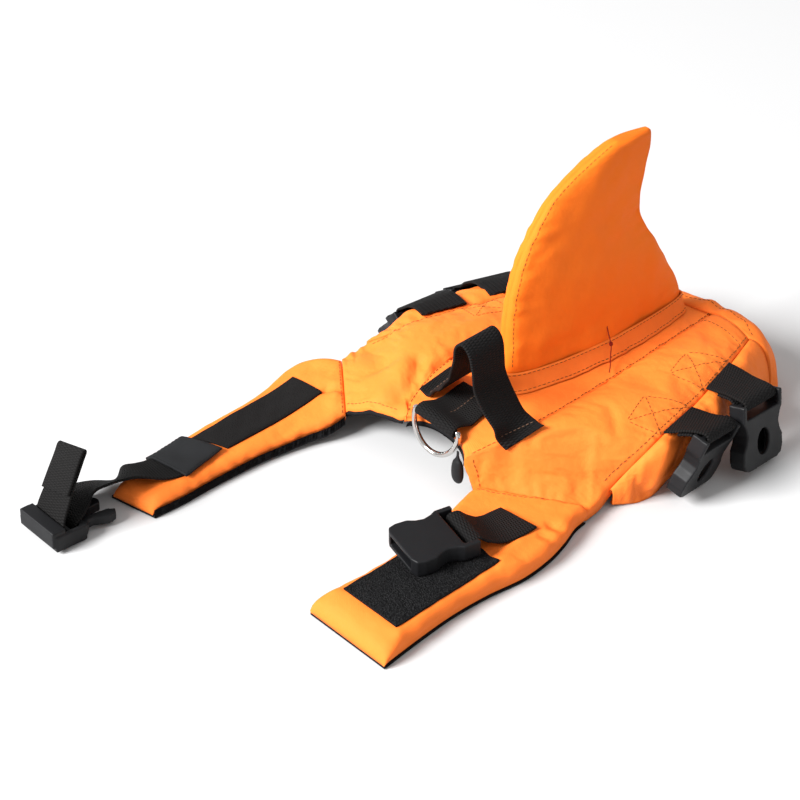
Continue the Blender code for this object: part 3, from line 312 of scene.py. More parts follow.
def unit(vectors):
    return vectors / (np.linalg.norm(vectors, axis=-1, keepdims=True) + 1e-12)


def across(first, last, s):
    """Grid of points straight across from one line to another, at the shares s."""
    return first[:, None] + (last - first)[:, None] * s[..., None]


def plan_normal(curve, towards):
    """Level unit direction square to a curve, on the side of the points `towards`."""
    run = np.gradient(curve, axis=0)
    side = unit(np.stack([run[:, 1], -run[:, 0], 0 * run[:, 0]], axis=1))
    return side * np.sign(np.sum(side * (towards - curve), axis=1, keepdims=True))


def bow(s, power=2.0):
    """0 at both ends of s in 0..1 and 1 in the middle: 1 - |2s - 1| to a power."""
    return 1 - np.abs(2 * s - 1) ** power


def columns(count):
    """0..1, closer together towards both ends: 0.45 even and 0.55 by a cosine."""
    t = np.linspace(0, 1, count)
    return 0.45 * t + 0.55 * (0.5 - 0.5 * np.cos(math.pi * t))


def round_angles(count):
    """Angles the same way apart round a full turn."""
    return np.linspace(0, 2 * math.pi, count + 1)[:-1]


def grid_normals(grid, up):
    """Unit normals of a grid from the cross product of its two slopes, on the side of `up`."""
    normal = unit(np.cross(np.gradient(grid, axis=0), np.gradient(grid, axis=1)))
    side = np.sign(np.sum(normal * up, axis=-1, keepdims=True))
    return normal * np.where(side == 0, 1, side)


def ripple(x, length, seed):
    """Sum of five sine waves about `length` long with seeded phases, from about -1 to 1."""
    rng = np.random.default_rng(seed)
    waves = length * rng.uniform(0.6, 1.7, 5)
    phase = rng.uniform(0, 2 * math.pi, 5)
    return sum(np.sin(2 * math.pi * x / w + p) for w, p in zip(waves, phase)) / 2.6


def mottle(x, y, length, seed):
    """Sum of seven plane waves in seeded directions, from about -1 to 1."""
    rng = np.random.default_rng(seed)
    turn = rng.uniform(0, 2 * math.pi, 7)
    waves = length * rng.uniform(0.7, 1.5, 7)
    phase = rng.uniform(0, 2 * math.pi, 7)
    return sum(np.sin(2 * math.pi * (x * math.cos(a) + y * math.sin(a)) / w + p)
               for a, w, p in zip(turn, waves, phase)) / 3.2


def pucker(distance, along, reach, length, seed):
    """Gathers square to a sewn line: ripples along it that fade out over `reach` from it."""
    skew = ripple(along, 40.0, seed + 1) * 1.5
    return np.exp(-distance / reach) * ripple(along + skew * distance / reach, length, seed)


def roll_off(distance, radius, depth):
    """How far a surface has turned down near an edge: a quarter round `radius` wide."""
    t = np.clip(1 - distance / radius, 0, 1)
    return depth * (1 - np.sqrt(np.clip(1 - t ** 2, 0, 1)))


def fold_depth(x, y, rows):
    """Listed folds: each a bell across its line that fades at its ends."""
    total = np.zeros_like(x)
    for x0, y0, x1, y1, wide, deep in rows:
        dx, dy = x1 - x0, y1 - y0
        length = math.hypot(dx, dy)
        t = ((x - x0) * dx + (y - y0) * dy) / length ** 2
        off = ((x - x0) * dy - (y - y0) * dx) / length + wide * 0.35 * np.sin(3.0 * t)
        fade = np.exp(-np.clip(np.abs(t - 0.5) - 0.35, 0, None) ** 2 / 0.03)
        total -= deep * fade * np.exp(-(off / wide) ** 2)
    return total


# ---------------------------------------------------------------- mesh making

def quads(n, m, wrap_rows=False, wrap_columns=False):
    """Four-cornered faces of a grid of n rows and m columns, as one array."""
    i = np.arange(n if wrap_rows else n - 1)[:, None]
    j = np.arange(m if wrap_columns else m - 1)
    i2, j2 = (i + 1) % n, (j + 1) % m
    return np.stack([i * m + j, i * m + j2, i2 * m + j2, i2 * m + j], axis=-1).reshape(-1, 4)


def outward(verts, faces):
    """The faces turned so that the volume inside them is positive."""
    a, b, c, d = (verts[faces[:, k]] for k in range(4))
    volume = np.sum(np.cross(a, b) * c) + np.sum(np.cross(a, c) * d)
    return faces if volume > 0 else faces[:, ::-1]


def edit(mesh, step):
    """One bmesh step on a mesh."""
    bm = bmesh.new()
    bm.from_mesh(mesh)
    step(bm)
    bm.to_mesh(mesh)
    bm.free()


def even_normals(bm):
    bmesh.ops.recalc_face_normals(bm, faces=bm.faces)


def linked(name, data):
    """A new object for a mesh, lamp or camera, in the scene."""
    obj = bpy.data.objects.new(name, data)
    bpy.context.scene.collection.objects.link(obj)
    return obj


def mesh_piece(name, points, faces, uv, mats, face_mat=0):
    """One object from table points; uv is millimetres along and across the cloth."""
    mesh = bpy.data.meshes.new(name)
    mesh.from_pydata(to_frame(points).tolist(), [], faces)
    mesh.update()
    if uv is not None:
        layer = mesh.uv_layers.new(name="cloth")
        corner = np.zeros(len(mesh.loops), np.int32)
        mesh.loops.foreach_get("vertex_index", corner)
        layer.data.foreach_set("uv", (uv[corner] * MM).astype(np.float32).ravel())
    for mat in mats:
        mesh.materials.append(finish_of(mat))
    mesh.polygons.foreach_set("material_index", np.full(len(mesh.polygons), face_mat, np.int32))
    mesh.polygons.foreach_set("use_smooth", np.full(len(mesh.polygons), True))
    return linked(name, mesh)


def cloth_uv(grid):
    """Millimetres along the rows and across them, measured on the grid's own surface."""
    middle = grid.shape[1] // 2
    wide = walk_across(grid)
    wide -= wide[:, middle, None]
    return np.stack([walk_along(grid[:, middle])[:, None] + 0 * wide, wide], axis=-1)


def shell(name, top, bottom, mats, under=0):
    """Closed piece between two grids of like layout, with a wall round the edge; `under` is the
    number of the underside's material."""
    n, m = top.shape[:2]
    verts = np.vstack([top.reshape(-1, 3), bottom.reshape(-1, 3)])
    upper = quads(n, m)
    rim = np.concatenate([np.arange(m), np.arange(1, n) * m + m - 1,
                          (n - 1) * m + np.arange(m - 2, -1, -1), np.arange(n - 2, 0, -1) * m])
    after = np.roll(rim, -1)
    wall = np.stack([after, rim, n * m + rim, n * m + after], axis=1)
    faces = outward(verts, np.vstack([upper, upper[:, ::-1] + n * m, wall])).tolist()
    flat = cloth_uv(top).reshape(-1, 2)
    face_mat = np.repeat([0, under, 0], [len(upper), len(upper), len(wall)])
    return mesh_piece(name, verts, faces, np.vstack([flat, flat]), mats, face_mat)


def tube(name, rings, mats, closed=False, uv=None):
    """Closed piece through rings of points; its ends are capped, or joined where `closed`."""
    n, m = rings.shape[:2]
    verts = rings.reshape(-1, 3)
    faces = quads(n, m, closed, True)
    if uv is None:
        step = np.linalg.norm(np.diff(rings, axis=1, append=rings[:, :1]), axis=2)
        wide = np.cumsum(step, axis=1) - step
        uv = np.stack([walk_along(rings[:, 0])[:, None] + 0 * wide, wide], axis=-1)
    if not closed:
        half = np.arange(m // 2 - 1)
        first, last = (np.stack([k + half, k + half + 1, k + m - 2 - half, k + m - 1 - half], axis=1)
                       for k in (0, (n - 1) * m))
        faces = np.vstack([faces, first[:, ::-1], last])
    obj = mesh_piece(name, verts, outward(verts, faces).tolist(), uv.reshape(-1, 2), mats)
    if not closed:
        edit(obj.data, even_normals)
    return obj


def wire(line, radius, first, second, count):
    """Rings of a round wire: a circle carried along a line, in two directions square to it."""
    a = round_angles(count)[:, None]
    return line[:, None] + radius * (np.cos(a) * first[:, None] + np.sin(a) * second[:, None])


def section(width, thick, rounding, points=5):
    """Flat webbing's section: a rectangle whose short sides are half round."""
    turn = np.linspace(-math.pi / 2, math.pi / 2, points)
    half = width / 2 - rounding
    right = np.stack([half + rounding * np.cos(turn), thick / 2 * np.sin(turn)], axis=1)
    flat = np.linspace(half, -half, 11)[1:-1]
    upper = np.stack([flat, np.full(9, thick / 2)], axis=1)
    return np.vstack([right, upper, -right, -upper])


def webbing(name, node, path, side, width, gap=0.8, passes=3, wave=0.0, seed=1):
    """Flat webbing over its node: its section carried along a path, square to it, with rounded
    selvedges. Returns its middle line, width directions and faces."""
    side = np.broadcast_to(np.asarray(side, float), np.shape(path))
    rows = relaxed(evenly(np.hstack([path, side]), gap), passes)
    path, side = rows[:, :3], unit(rows[:, 3:])
    face = unit(np.cross(unit(np.gradient(path, axis=0)), side))
    flat = section(width, WEB_THICK, 0.55)
    walk = walk_along(path)[:, None]
    bend = wave * ripple(walk, 26.0, seed) * flat[:, 0] / width
    rings = (path[:, None] + side[:, None] * flat[:, :1]
             + face[:, None] * (flat[:, 1] + bend)[..., None])
    uv = np.stack(np.broadcast_arrays(walk, flat[:, 0]), axis=-1)
    lay(tube(name, rings, ["web"], uv=uv), node)
    return path, side, face


class Ground:
    """Heights of finished pieces, for what lies on them."""

    def __init__(self, *names):
        graph = bpy.context.evaluated_depsgraph_get()
        self.trees = [BVHTree.FromObject(MADE[name], graph) for name in names]

    def drop(self, points, lift=0.0):
        """Each point moved straight down onto the pieces and raised by `lift`, with the normals
        there; a point beside them takes the height of the nearest one that isn't."""
        out, normals = [], []
        for x, y in np.asarray(points, float)[:, :2]:
            start = Vector(to_frame((x, y, SKY)))
            hits = [tree.ray_cast(start, Vector((0, 0, -1))) for tree in self.trees]
            spot, normal = max((hit for hit in hits if hit[0] is not None),
                               key=lambda hit: hit[0].z, default=(None, None))[:2]
            out.append((x, y, np.nan if spot is None else spot.z / MM))
            normals.append(UP if spot is None else tuple(normal))
        out, normals = np.array(out), np.array(normals)
        missed = np.isnan(out[:, 2])
        found = out[~missed]
        for k in np.nonzero(missed)[0]:
            out[k, 2] = found[np.argmin(np.sum((found[:, :2] - out[k, :2]) ** 2, axis=1)), 2]
        normals *= np.sign(normals[:, 2:3]) + (normals[:, 2:3] == 0)
        return out + normals * lift, normals

    def highest(self, points):
        return self.drop(points)[0][:, 2].max()


def stitches(name, slot, thread, lines, long, gap, thick):
    """Sewing thread: one short spindle for each stitch along each line, all as one mesh.

    A spindle is five-sided, with three rings whose radius is the sine of the way along it.
    """
    t = np.array([0.12, 0.5, 0.88])
    radius = thick / 2 * np.sin(math.pi * t) ** 0.4
    rings = [(long * u, r * math.cos(a), r * math.sin(a))
             for u, r in zip(t, radius) for a in round_angles(5)]
    base = np.array([(0, 0, 0), *rings, (long, 0, 0)])
    faces = []
    for k in range(5):
        after = (k + 1) % 5
        faces += [(0, 1 + after, 1 + k), (11 + k, 11 + after, 16)]
        faces += [(low + k, low + after, low + 5 + after, low + 5 + k) for low in (1, 6)]
    verts, out = [], []
    for points, normals in lines:
        rows = evenly(np.hstack([points, normals]), (long + gap) / 4)
        nexts = rows[3:-2:4]
        spots = rows[2:-3:4][:len(nexts)]
        nexts = nexts[:len(spots)]
        run = unit(nexts[:, :3] - spots[:, :3])
        up = unit(spots[:, 3:] - run * np.sum(run * spots[:, 3:], axis=1, keepdims=True))
        axes = np.stack([run, np.cross(up, run), up], axis=1)
        shift = sum(map(len, verts)) + np.arange(len(spots)) * len(base)
        verts.append(((spots[:, :3] - up * STITCH_SUNK)[:, None] + base @ axes).reshape(-1, 3))
        out += [tuple(int(s) + v for v in face) for s in shift for face in faces]
    lay(mesh_piece(name, np.vstack(verts), out, None, [thread]), None)


def lay(obj, node, body=JACKET):
    """The piece rides on its body and stands for its node, whose solid is hidden."""
    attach(obj, body)
    if node:
        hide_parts(node)


# ---------------------------------------------------------------- shader groups and finishes

def put(socket, value):
    """Feeds a socket from another socket, a colour or a number."""
    if isinstance(value, bpy.types.NodeSocket):
        socket.id_data.links.new(value, socket)
    elif isinstance(value, (int, float)):
        socket.default_value = value
    else:
        socket.default_value = (*value, 1.0)


def feed(node, **values):
    """Feeds a node's sockets by name, where `_` stands for a space."""
    for label, value in values.items():
        put(node.inputs[label.replace("_", " ")], value)
    return node


def maths(tree, operation, *values):
    """A Math node on sockets or numbers; returns its output."""
    node = tree.nodes.new("ShaderNodeMath")
    node.operation = operation
    for socket, value in zip(node.inputs, values):
        put(socket, value)
    return node.outputs[0]


def mixed(tree, share, first, second):
    """A colour mix of sockets or plain colours by a share."""
    node = tree.nodes.new("ShaderNodeMix")
    node.data_type = "RGBA"
    for k, value in ((0, share), (6, first), (7, second)):
        put(node.inputs[k], value)
    return node.outputs[2]


def noise(tree, place, scale, detail, roughness=0.5):
    node = tree.nodes.new("ShaderNodeTexNoise")
    return feed(node, Vector=place, Scale=scale, Detail=detail, Roughness=roughness).outputs[0]


def new_group(name, inputs, outputs):
    """An empty shader group, its Math node maker and its ends. An input is a number or a colour
    by its default, and a vector without one; an output named Color is a colour."""
    group = bpy.data.node_groups.new(name, "ShaderNodeTree")
    for label, value in inputs.items():
        kind = "Vector" if value is None else "Color" if isinstance(value, tuple) else "Float"
        socket = group.interface.new_socket(name=label, in_out="INPUT", socket_type="NodeSocket" + kind)
        if value is not None:
            socket.default_value = value
    for label in outputs:
        kind = "Color" if label == "Color" else "Float"
        group.interface.new_socket(name=label, in_out="OUTPUT", socket_type="NodeSocket" + kind)

    def do(operation, *values):
        return maths(group, operation, *values)
    return group, do, group.nodes.new("NodeGroupInput").outputs, group.nodes.new("NodeGroupOutput").inputs


def plan_axes(group, place):
    node = group.nodes.new("ShaderNodeSeparateXYZ")
    put(node.inputs[0], place)
    return node.outputs[:2]


def weave_group():
    """Over and under threads: the product of two rectified sines, higher on every other cell."""
    group, do, source, sink = new_group("over_under_threads", {"Place": None, "Pitch": 0.0006},
                                        ["Height", "Gap"])
    waves = [do("SINE", do("MULTIPLY", do("DIVIDE", axis, source["Pitch"]), math.pi))
             for axis in plan_axes(group, source["Place"])]
    lumps = do("MULTIPLY", do("ABSOLUTE", waves[0]), do("ABSOLUTE", waves[1]))
    over = do("GREATER_THAN", do("MULTIPLY", *waves), 0.0)
    put(sink["Height"], do("MULTIPLY", lumps, do("ADD", do("MULTIPLY", over, 0.35), 0.65)))
    put(sink["Gap"], do("SUBTRACT", 1.0, do("POWER", lumps, 0.5)))
    return group


def rib_group():
    """Webbing: cross ribs along the run that step half a rib at each lengthwise column."""
    group, do, source, sink = new_group("webbing_ribs", {"Place": None, "Rib": 0.0013, "Column": 0.0024},
                                        ["Height"])
    along, wide = plan_axes(group, source["Place"])
    column = do("DIVIDE", wide, source["Column"])
    step = do("MULTIPLY", do("FLOOR", column), 0.5)
    turns = do("ADD", do("DIVIDE", along, source["Rib"]), step)
    ribs, edge = (do("ABSOLUTE", do("SINE", do("MULTIPLY", value, math.pi))) for value in (turns, column))
    put(sink["Height"], do("MULTIPLY", ribs, do("POWER", edge, 0.35)))
    return group


def dye_group():
    """Uneven dye and handling: noise shifts a colour towards a deeper one."""
    group, do, source, sink = new_group(
        "uneven_dye", {"Place": None, "Color": (1, 1, 1, 1), "Deep": (0.5, 0.5, 0.5, 1),
                       "Amount": 0.3, "Size": 60.0}, ["Color"])
    patch = noise(group, source["Place"], source["Size"], 4.0, 0.55)
    share = do("MULTIPLY", do("SMOOTH_MIN", patch, 1.0), source["Amount"])
    put(sink["Color"], mixed(group, share, source["Color"], source["Deep"]))
    return group


def grain_group():
    """Moulded grain: fine noise for height and a broad one for roughness."""
    group, do, source, sink = new_group(
        "moulded_grain", {"Place": None, "Fine": 2600.0, "Rough low": 0.3, "Rough high": 0.5},
        ["Height", "Roughness"])
    put(sink["Height"], noise(group, source["Place"], source["Fine"], 3.0))
    broad = noise(group, source["Place"], 90.0, 3.0)
    span = do("SUBTRACT", source["Rough high"], source["Rough low"])
    put(sink["Roughness"], do("ADD", source["Rough low"], do("MULTIPLY", broad, span)))
    return group


GROUPS = {}
GROUP_MAKERS = {"weave": weave_group, "ribs": rib_group, "dye": dye_group, "grain": grain_group}


def placed(tree, name, **values):
    """A shader group in a material, with its own numbers, colours or links; each group is made
    at its first use."""
    if name not in GROUPS:
        GROUPS[name] = GROUP_MAKERS[name]()
    node = tree.nodes.new("ShaderNodeGroup")
    node.node_tree = GROUPS[name]
    return feed(node, **values).outputs


def blank(name, roughness, specular=0.5, metallic=0.0):
    """A material with its shader's plain sockets set, and the cloth's and the object's place."""
    mat = bpy.data.materials.new(name)
    mat.use_nodes = True
    tree = mat.node_tree
    shader = feed(tree.nodes["Principled BSDF"], Roughness=roughness, Metallic=metallic,
                  Specular_IOR_Level=specular)
    place = tree.nodes.new("ShaderNodeTexCoord").outputs
    return mat, tree, shader, place["UV"], place["Object"]


def bumped(tree, shader, height, distance, strength, after=None):
    bump = feed(tree.nodes.new("ShaderNodeBump"), Strength=strength, Distance=distance, Height=height)
    if after is not None:
        put(bump.inputs["Normal"], after)
    put(shader.inputs["Normal"], bump.outputs[0])
    return bump.outputs[0]


def scaled(color, share):
    return tuple(c * share for c in color)


def oxford(name, color, deep, roughness=0.62, pitch=0.00062):
    """Coated polyester cloth: fine plain weave, soft dye patches, painted shade between the threads."""
    mat, tree, shader, flat, solid = blank(name, roughness, 0.14)
    weave = placed(tree, "weave", Place=flat, Pitch=pitch)
    dye = placed(tree, "dye", Place=solid, Color=color, Deep=deep, Amount=0.28, Size=26.0)
    # Painted shade: the colour goes darker in the gaps between the threads.
    share = maths(tree, "MULTIPLY", weave["Gap"], 0.20)
    wrinkle = placed(tree, "grain", Place=solid, Fine=190.0, Rough_low=roughness - 0.1,
                     Rough_high=roughness + 0.12)
    feed(shader, Base_Color=mixed(tree, share, dye["Color"], scaled(deep, 0.62)),
         Roughness=wrinkle["Roughness"])
    soft = bumped(tree, shader, wrinkle["Height"], 0.0009, 0.55)
    bumped(tree, shader, weave["Height"], 0.00016, 0.7, soft)
    return mat


def webbing_finish(name, color, paler, rib=0.0015, column=0.0026, depth=0.0006):
    """Polypropylene webbing: ribs stepped at each column, lighter on their high spots."""
    mat, tree, shader, flat, solid = blank(name, 0.8, 0.12)
    ribs = placed(tree, "ribs", Place=flat, Rib=rib, Column=column)["Height"]
    dye = placed(tree, "dye", Place=solid, Color=color, Deep=paler, Amount=0.5, Size=45.0)
    # The colour moves towards the paler one on the ribs' high spots.
    feed(shader, Base_Color=mixed(tree, maths(tree, "MULTIPLY", ribs, 0.55), dye["Color"], paler))
    bumped(tree, shader, ribs, depth, 0.9)
    return mat


def pile_finish(name, color, tip, scale, depth, cover):
    """Hook or loop pile: coarse speckle of bright tips over a dark ground."""
    mat, tree, shader, _, solid = blank(name, 0.88, 0.08)
    cells = feed(tree.nodes.new("ShaderNodeTexVoronoi"), Vector=solid, Scale=scale)
    speck = placed(tree, "grain", Place=solid, Fine=scale * 1.7, Rough_low=0.7, Rough_high=0.95)
    height = maths(tree, "SUBTRACT", 1.0, cells.outputs["Distance"])
    tips = maths(tree, "MULTIPLY", maths(tree, "POWER", height, 3.0), cover)
    tips = maths(tree, "MULTIPLY", tips, maths(tree, "POWER", speck["Height"], 1.5))
    feed(shader, Base_Color=mixed(tree, tips, color, tip), Roughness=speck["Roughness"])
    bumped(tree, shader, height, depth, 1.0)
    return mat


def grained_finish(name, color, deep, share, size, fine, low, high, depth, strength, base):
    """Moulded or drawn surface: uneven colour, rubbed patches and a fine grain."""
    mat, tree, shader, _, solid = blank(name, *base)
    grain = placed(tree, "grain", Place=solid, Fine=fine, Rough_low=low, Rough_high=high)
    dye = placed(tree, "dye", Place=solid, Color=color, Deep=deep, Amount=share, Size=size)
    feed(shader, Base_Color=dye["Color"], Roughness=grain["Roughness"])
    bumped(tree, shader, grain["Height"], depth, strength)
    return mat


def thread_finish(name, color):
    """Sewing thread: matt, uneven along its twist."""
    mat, tree, shader, _, solid = blank(name, 0.7, 0.12)
    dye = placed(tree, "dye", Place=solid, Color=color, Deep=scaled(color, 0.55), Amount=0.7, Size=900.0)
    feed(shader, Base_Color=dye["Color"])
    return mat


FINISHES = {}


def finish_of(name):
    """The named finish, made at its first use from the panel's colours."""
    look = bpy.context.scene.jacket_looks
    rows = {
        "cloth": (oxford, "orange_oxford", look.cloth_color, look.cloth_deep),
        # Fin: the body cloth's orange made redder and deeper, painted shade of the fin's side.
        "fin": (oxford, "fin_oxford", look.fin_shaded_color, look.fin_shaded_deep, 0.66),
        "lining": (oxford, "black_lining_cloth", (0.006, 0.006, 0.007), (0.010, 0.010, 0.011),
                   0.8, 0.0009),
        "web": (webbing_finish, "black_webbing_ribbed", look.web_color, (0.0095, 0.0090, 0.0090)),
        "patch": (webbing_finish, "black_patch_webbing", (0.0095, 0.0098, 0.0106),
                  (0.022, 0.023, 0.0248), 0.0008, 0.0009, 0.0003),
        "hook": (pile_finish, "hook_tape_pile", (0.0025, 0.0025, 0.0028), (0.085, 0.085, 0.088),
                 1150.0, 0.0007, 1.1),
        "loop": (pile_finish, "loop_tape_pile", (0.007, 0.0065, 0.0065), (0.035, 0.032, 0.031),
                 1500.0, 0.0004, 0.9),
        "plastic": (grained_finish, "black_acetal", look.plastic_color, scaled(look.plastic_color, 1.9),
                    0.5, 120.0, 3200.0, 0.38, 0.60, 0.00005, 0.5, (0.4, 0.22)),
        "nickel": (grained_finish, "bright_nickel", (0.60, 0.59, 0.575), (0.52, 0.50, 0.47),
                   0.4, 160.0, 1500.0, 0.06, 0.26, 0.00003, 0.4, (0.14, 0.5, 1.0)),
        "thread": (thread_finish, "brown_thread", look.thread_color),
        "red_thread": (thread_finish, "dark_red_thread", (0.22, 0.013, 0.006)),
        "beige_thread": (thread_finish, "beige_thread", (0.20, 0.115, 0.075)),
    }
    if name not in FINISHES:
        maker, *values = rows[name]
        FINISHES[name] = maker(*values)
    return FINISHES[name]


# ---------------------------------------------------------------- body panels

def channel_depth(rows, first):
    """How deep a channel is sewn in at each row behind the neck edge."""
    return np.interp(rows / (0.5 * STEPS), range(4), (first, 1.0, 1.8, 2.5))[:, None]


def pad_grids(table, folds, seed):
    """Top and underside of a foam pad: straight across from channel to seam, crowned, rolled off
    at its sewn edges, gathered along them and creased along the listed folds."""
    rows = smooth_curve(table, STEPS)
    inner, outer, rise, edge = rows[:, 0:3], rows[:, 3:6], rows[:, 6:7], rows[:, 7:8]
    s = columns(PAD_COLUMNS)
    plain = across(inner, outer, s)
    plain[..., 2] += rise * bow(s, 2.6)
    top = plain.copy()
    top[:, 0] += plan_normal(inner, outer) * SEAM_GAP / 2
    top[:, -1] += plan_normal(outer, inner) * SEAM_GAP / 2
    wide = np.linalg.norm(outer - inner, axis=1)[:, None]
    from_inner, from_outer = s * wide, (1 - s) * wide
    along = walk_along((inner + outer) / 2)[:, None]
    depth = fold_depth(top[..., 0], top[..., 1], folds)
    depth += 0.50 * pucker(from_inner, along, 4.0, 8.0, seed)
    depth += 0.75 * pucker(from_outer, along, 6.5, 10.0, seed + 2)
    depth += 0.35 * pucker(along, from_inner, 5.0, 10.0, seed + 4)
    depth += 0.45 * mottle(top[..., 0], top[..., 1], 46.0, seed + 6)
    count = np.arange(len(rows))
    depth -= channel_depth(count - NECK_ROW * STEPS, 0.5) * np.exp(-(from_inner / 3.4) ** 1.6)
    depth -= roll_off(from_outer, 2.4, 1.0)
    depth -= roll_off(along[-1] - along, 3.0, 1.1) + roll_off(along, 2.4, 0.7)
    top[..., 2] += depth
    thick = PAD_INNER_EDGE + (edge - PAD_INNER_EDGE) * s + 8.0 * bow(s, 1.6)
    ends = np.clip(np.minimum(count, count[::-1]) / (1.5 * STEPS), 0, 1)[:, None]
    lean = (bow(s) * ends)[..., None]
    normal = unit(grid_normals(plain, UP) * lean + UP * (1 - lean))
    bottom = plain - normal * thick[..., None]
    bottom[:, 0] = top[:, 0] - UP * 2
    bottom[..., 2] = np.minimum(np.maximum(bottom[..., 2], 1.6), top[..., 2] - LEAST_WALL)
    return top, bottom, inner, outer


def quarter_round(start, hem, turns):
    """Grid over a quarter of an ellipse, from a line out and down to a hem, with its angles."""
    angle = np.linspace(0, math.pi / 2, turns)
    share = np.stack([np.sin(angle), np.sin(angle), 1 - np.cos(angle)], axis=1)
    return start[:, None] + (hem - start)[:, None] * share, angle


def hanging_normals(grid, out):
    """Normals of a hanging grid: up along its seam and outwards along its hem."""
    normal = grid_normals(grid, out[:, None] + 0.4 * UP)
    normal[:, 0] = UP
    normal[:, -1] = out
    return normal


def gathered(along, down, seam, hem, dents):
    """Gathers below the seam and above the hem (height, reach, length, seed), and dents between
    them (height, length, seed)."""
    return (seam[0] * pucker(down, along, *seam[1:])
            + hem[0] * pucker(down[:, -1:] - down, along, *hem[1:])
            + dents[0] * mottle(along + 0 * down, down, *dents[1:]))


def raised(plain, normal, relief, down, fade, depth):
    """A hanging grid with its relief, which fades at both edges, rolled off at the seam."""
    relief = relief * np.clip(down / fade, 0, 1) * np.clip((down[:, -1:] - down) / 2.5, 0, 1)
    top = plain + normal * relief[..., None]
    top[..., 2] = np.maximum(top[..., 2] - roll_off(down, 2.4, depth), 0.0)
    return top


def flap_grids(seam, hem, seed, straps, turns=30):
    """Side flap: an ellipse's quarter from the seam out and down to the hem, swollen between the
    straps and gathered where they pull."""
    rows = smooth_curve(hem, STEPS)
    seam = seam[NECK_ROW * STEPS:]
    facing = np.radians(rows[:, 4])
    out = np.stack([np.cos(facing), np.sin(facing), 0 * facing], axis=1)
    clear = plan_normal(seam, seam + out * 9)
    start = seam + clear * SEAM_GAP
    plain, angle = quarter_round(start, rows[:, :3], turns)
    puff = np.sin(2 * angle) ** 0.8 * (1 - 0.35 * np.sin(angle))
    plain += out[:, None] * (rows[:, 3:4] * puff)[..., None]
    normal = hanging_normals(plain, out)
    bottom = plain - normal * (3.0 + 2.0 * bow(np.linspace(0, 1, turns)))[:, None]
    bottom[:, -1, 2] = plain[:, -1, 2]
    bottom[..., 2] = np.maximum(bottom[..., 2], np.maximum(rows[:, 2:3], 0.0))
    depth = start[:, None, 2] - bottom[..., 2]
    inward = -np.sum((bottom - start[:, None]) * clear[:, None], axis=2)
    bottom += clear[:, None] * np.maximum(0, inward - np.maximum(0, depth - PAD_SIDE))[..., None]
    along, down = walk_along(seam)[:, None], walk_across(plain)
    relief = gathered(along, down, (0.9, 7.0, 9.0, seed), (0.8, 8.0, 12.0, seed + 3), (0.8, 30.0, seed + 5))
    relief += fold_depth(along + 0 * down, down, FLAP_FOLDS)
    for y, reach in straps:
        relief -= 1.6 * np.exp(-((seam[:, 1:2] - y) / reach) ** 2) * np.sin(2 * angle)
    relief *= np.clip(rows[:, 3:4] / 5.0, 0.1, 1)
    top = raised(plain, normal, relief, down, 4.0, 0.8)
    bottom[:, :2, 2] = np.minimum(bottom[:, :2, 2], top[:, :2, 2] - LEAST_WALL)
    return top, bottom


def band_grids(near_edge, far_edge):
    """Centre band: straight across between the channels, drooping a little, its neck edge bowed."""
    near, far = near_edge[NECK_ROW * STEPS:], far_edge[NECK_ROW * STEPS:]
    s, count = columns(40), np.arange(len(near))
    top = across(far, near, s)
    top[..., 2] -= channel_depth(count, 0.3)
    ahead = np.interp(count / (0.5 * STEPS), range(6), (1.0, 0.75, 0.5, 0.25, 0.1, 0.0))[:, None]
    top[..., 2] += 3.0 * ahead * bow(s)
    top[..., 1] += 9.0 * ahead * bow(s, 3)
    top[:, 0] += plan_normal(far, near) * SEAM_GAP / 2
    top[:, -1] += plan_normal(near, far) * SEAM_GAP / 2
    bottom = top - UP * BAND_THICK
    wide = np.linalg.norm(near - far, axis=1)[:, None]
    along = walk_along((near + far) / 2)[:, None]
    relief = 0.45 * pucker(s * wide, along, 4.0, 8.0, 61)
    relief += 0.45 * pucker((1 - s) * wide, along, 4.0, 8.0, 63)
    relief += 0.35 * mottle(top[..., 0], top[..., 1], 26.0, 65)
    top[..., 2] += relief * np.clip(along / 6.0, 0, 1) - roll_off(along, 1.6, 0.9)
    return top, bottom


def tail_grids(near_outer, near_inner, far_inner, far_outer):
    """Tail flap: from the panels' rear edges over a quarter round and down to a half-round hem."""
    parts = []
    for a, b, count, rise in ((near_outer, near_inner, 40, 3.0), (near_inner, far_inner, 44, -1.0),
                              (far_inner, far_outer, 36, 3.0)):
        s = np.linspace(0, 1, count)[:, None]
        line = a[-1] + (b[-1] - a[-1]) * s + UP * rise * bow(s, 2.6)
        parts.append(line[:-1])
    start = np.vstack([*parts, line[-1:]])
    start[:, 1] += SEAM_GAP + 0.15
    hem = stations(smooth_curve([(x, y, 0.0) for x, y in TAIL_HEM], 12), len(start))
    plain, _ = quarter_round(start, hem, 34)
    normal = hanging_normals(plain, unit((hem - start) * LEVEL))
    bottom = plain - normal * 3.0
    bottom[..., 2] = np.maximum(bottom[..., 2], 0.0)
    along, down = walk_along(start)[:, None], walk_across(plain)
    relief = gathered(along, down, (1.0, 9.0, 13.0, 71), (0.9, 9.0, 15.0, 73), (0.9, 34.0, 75))
    relief += 2.6 * np.exp(-((start[:, :1] - 101) / 4.5) ** 2) * np.exp(-((down - 9) / 7) ** 2)
    top = raised(plain, normal, relief, down, 3.0, 0.9)
    bottom[:, 0, 2] = top[:, 0, 2] - 2.2
    return top, bottom


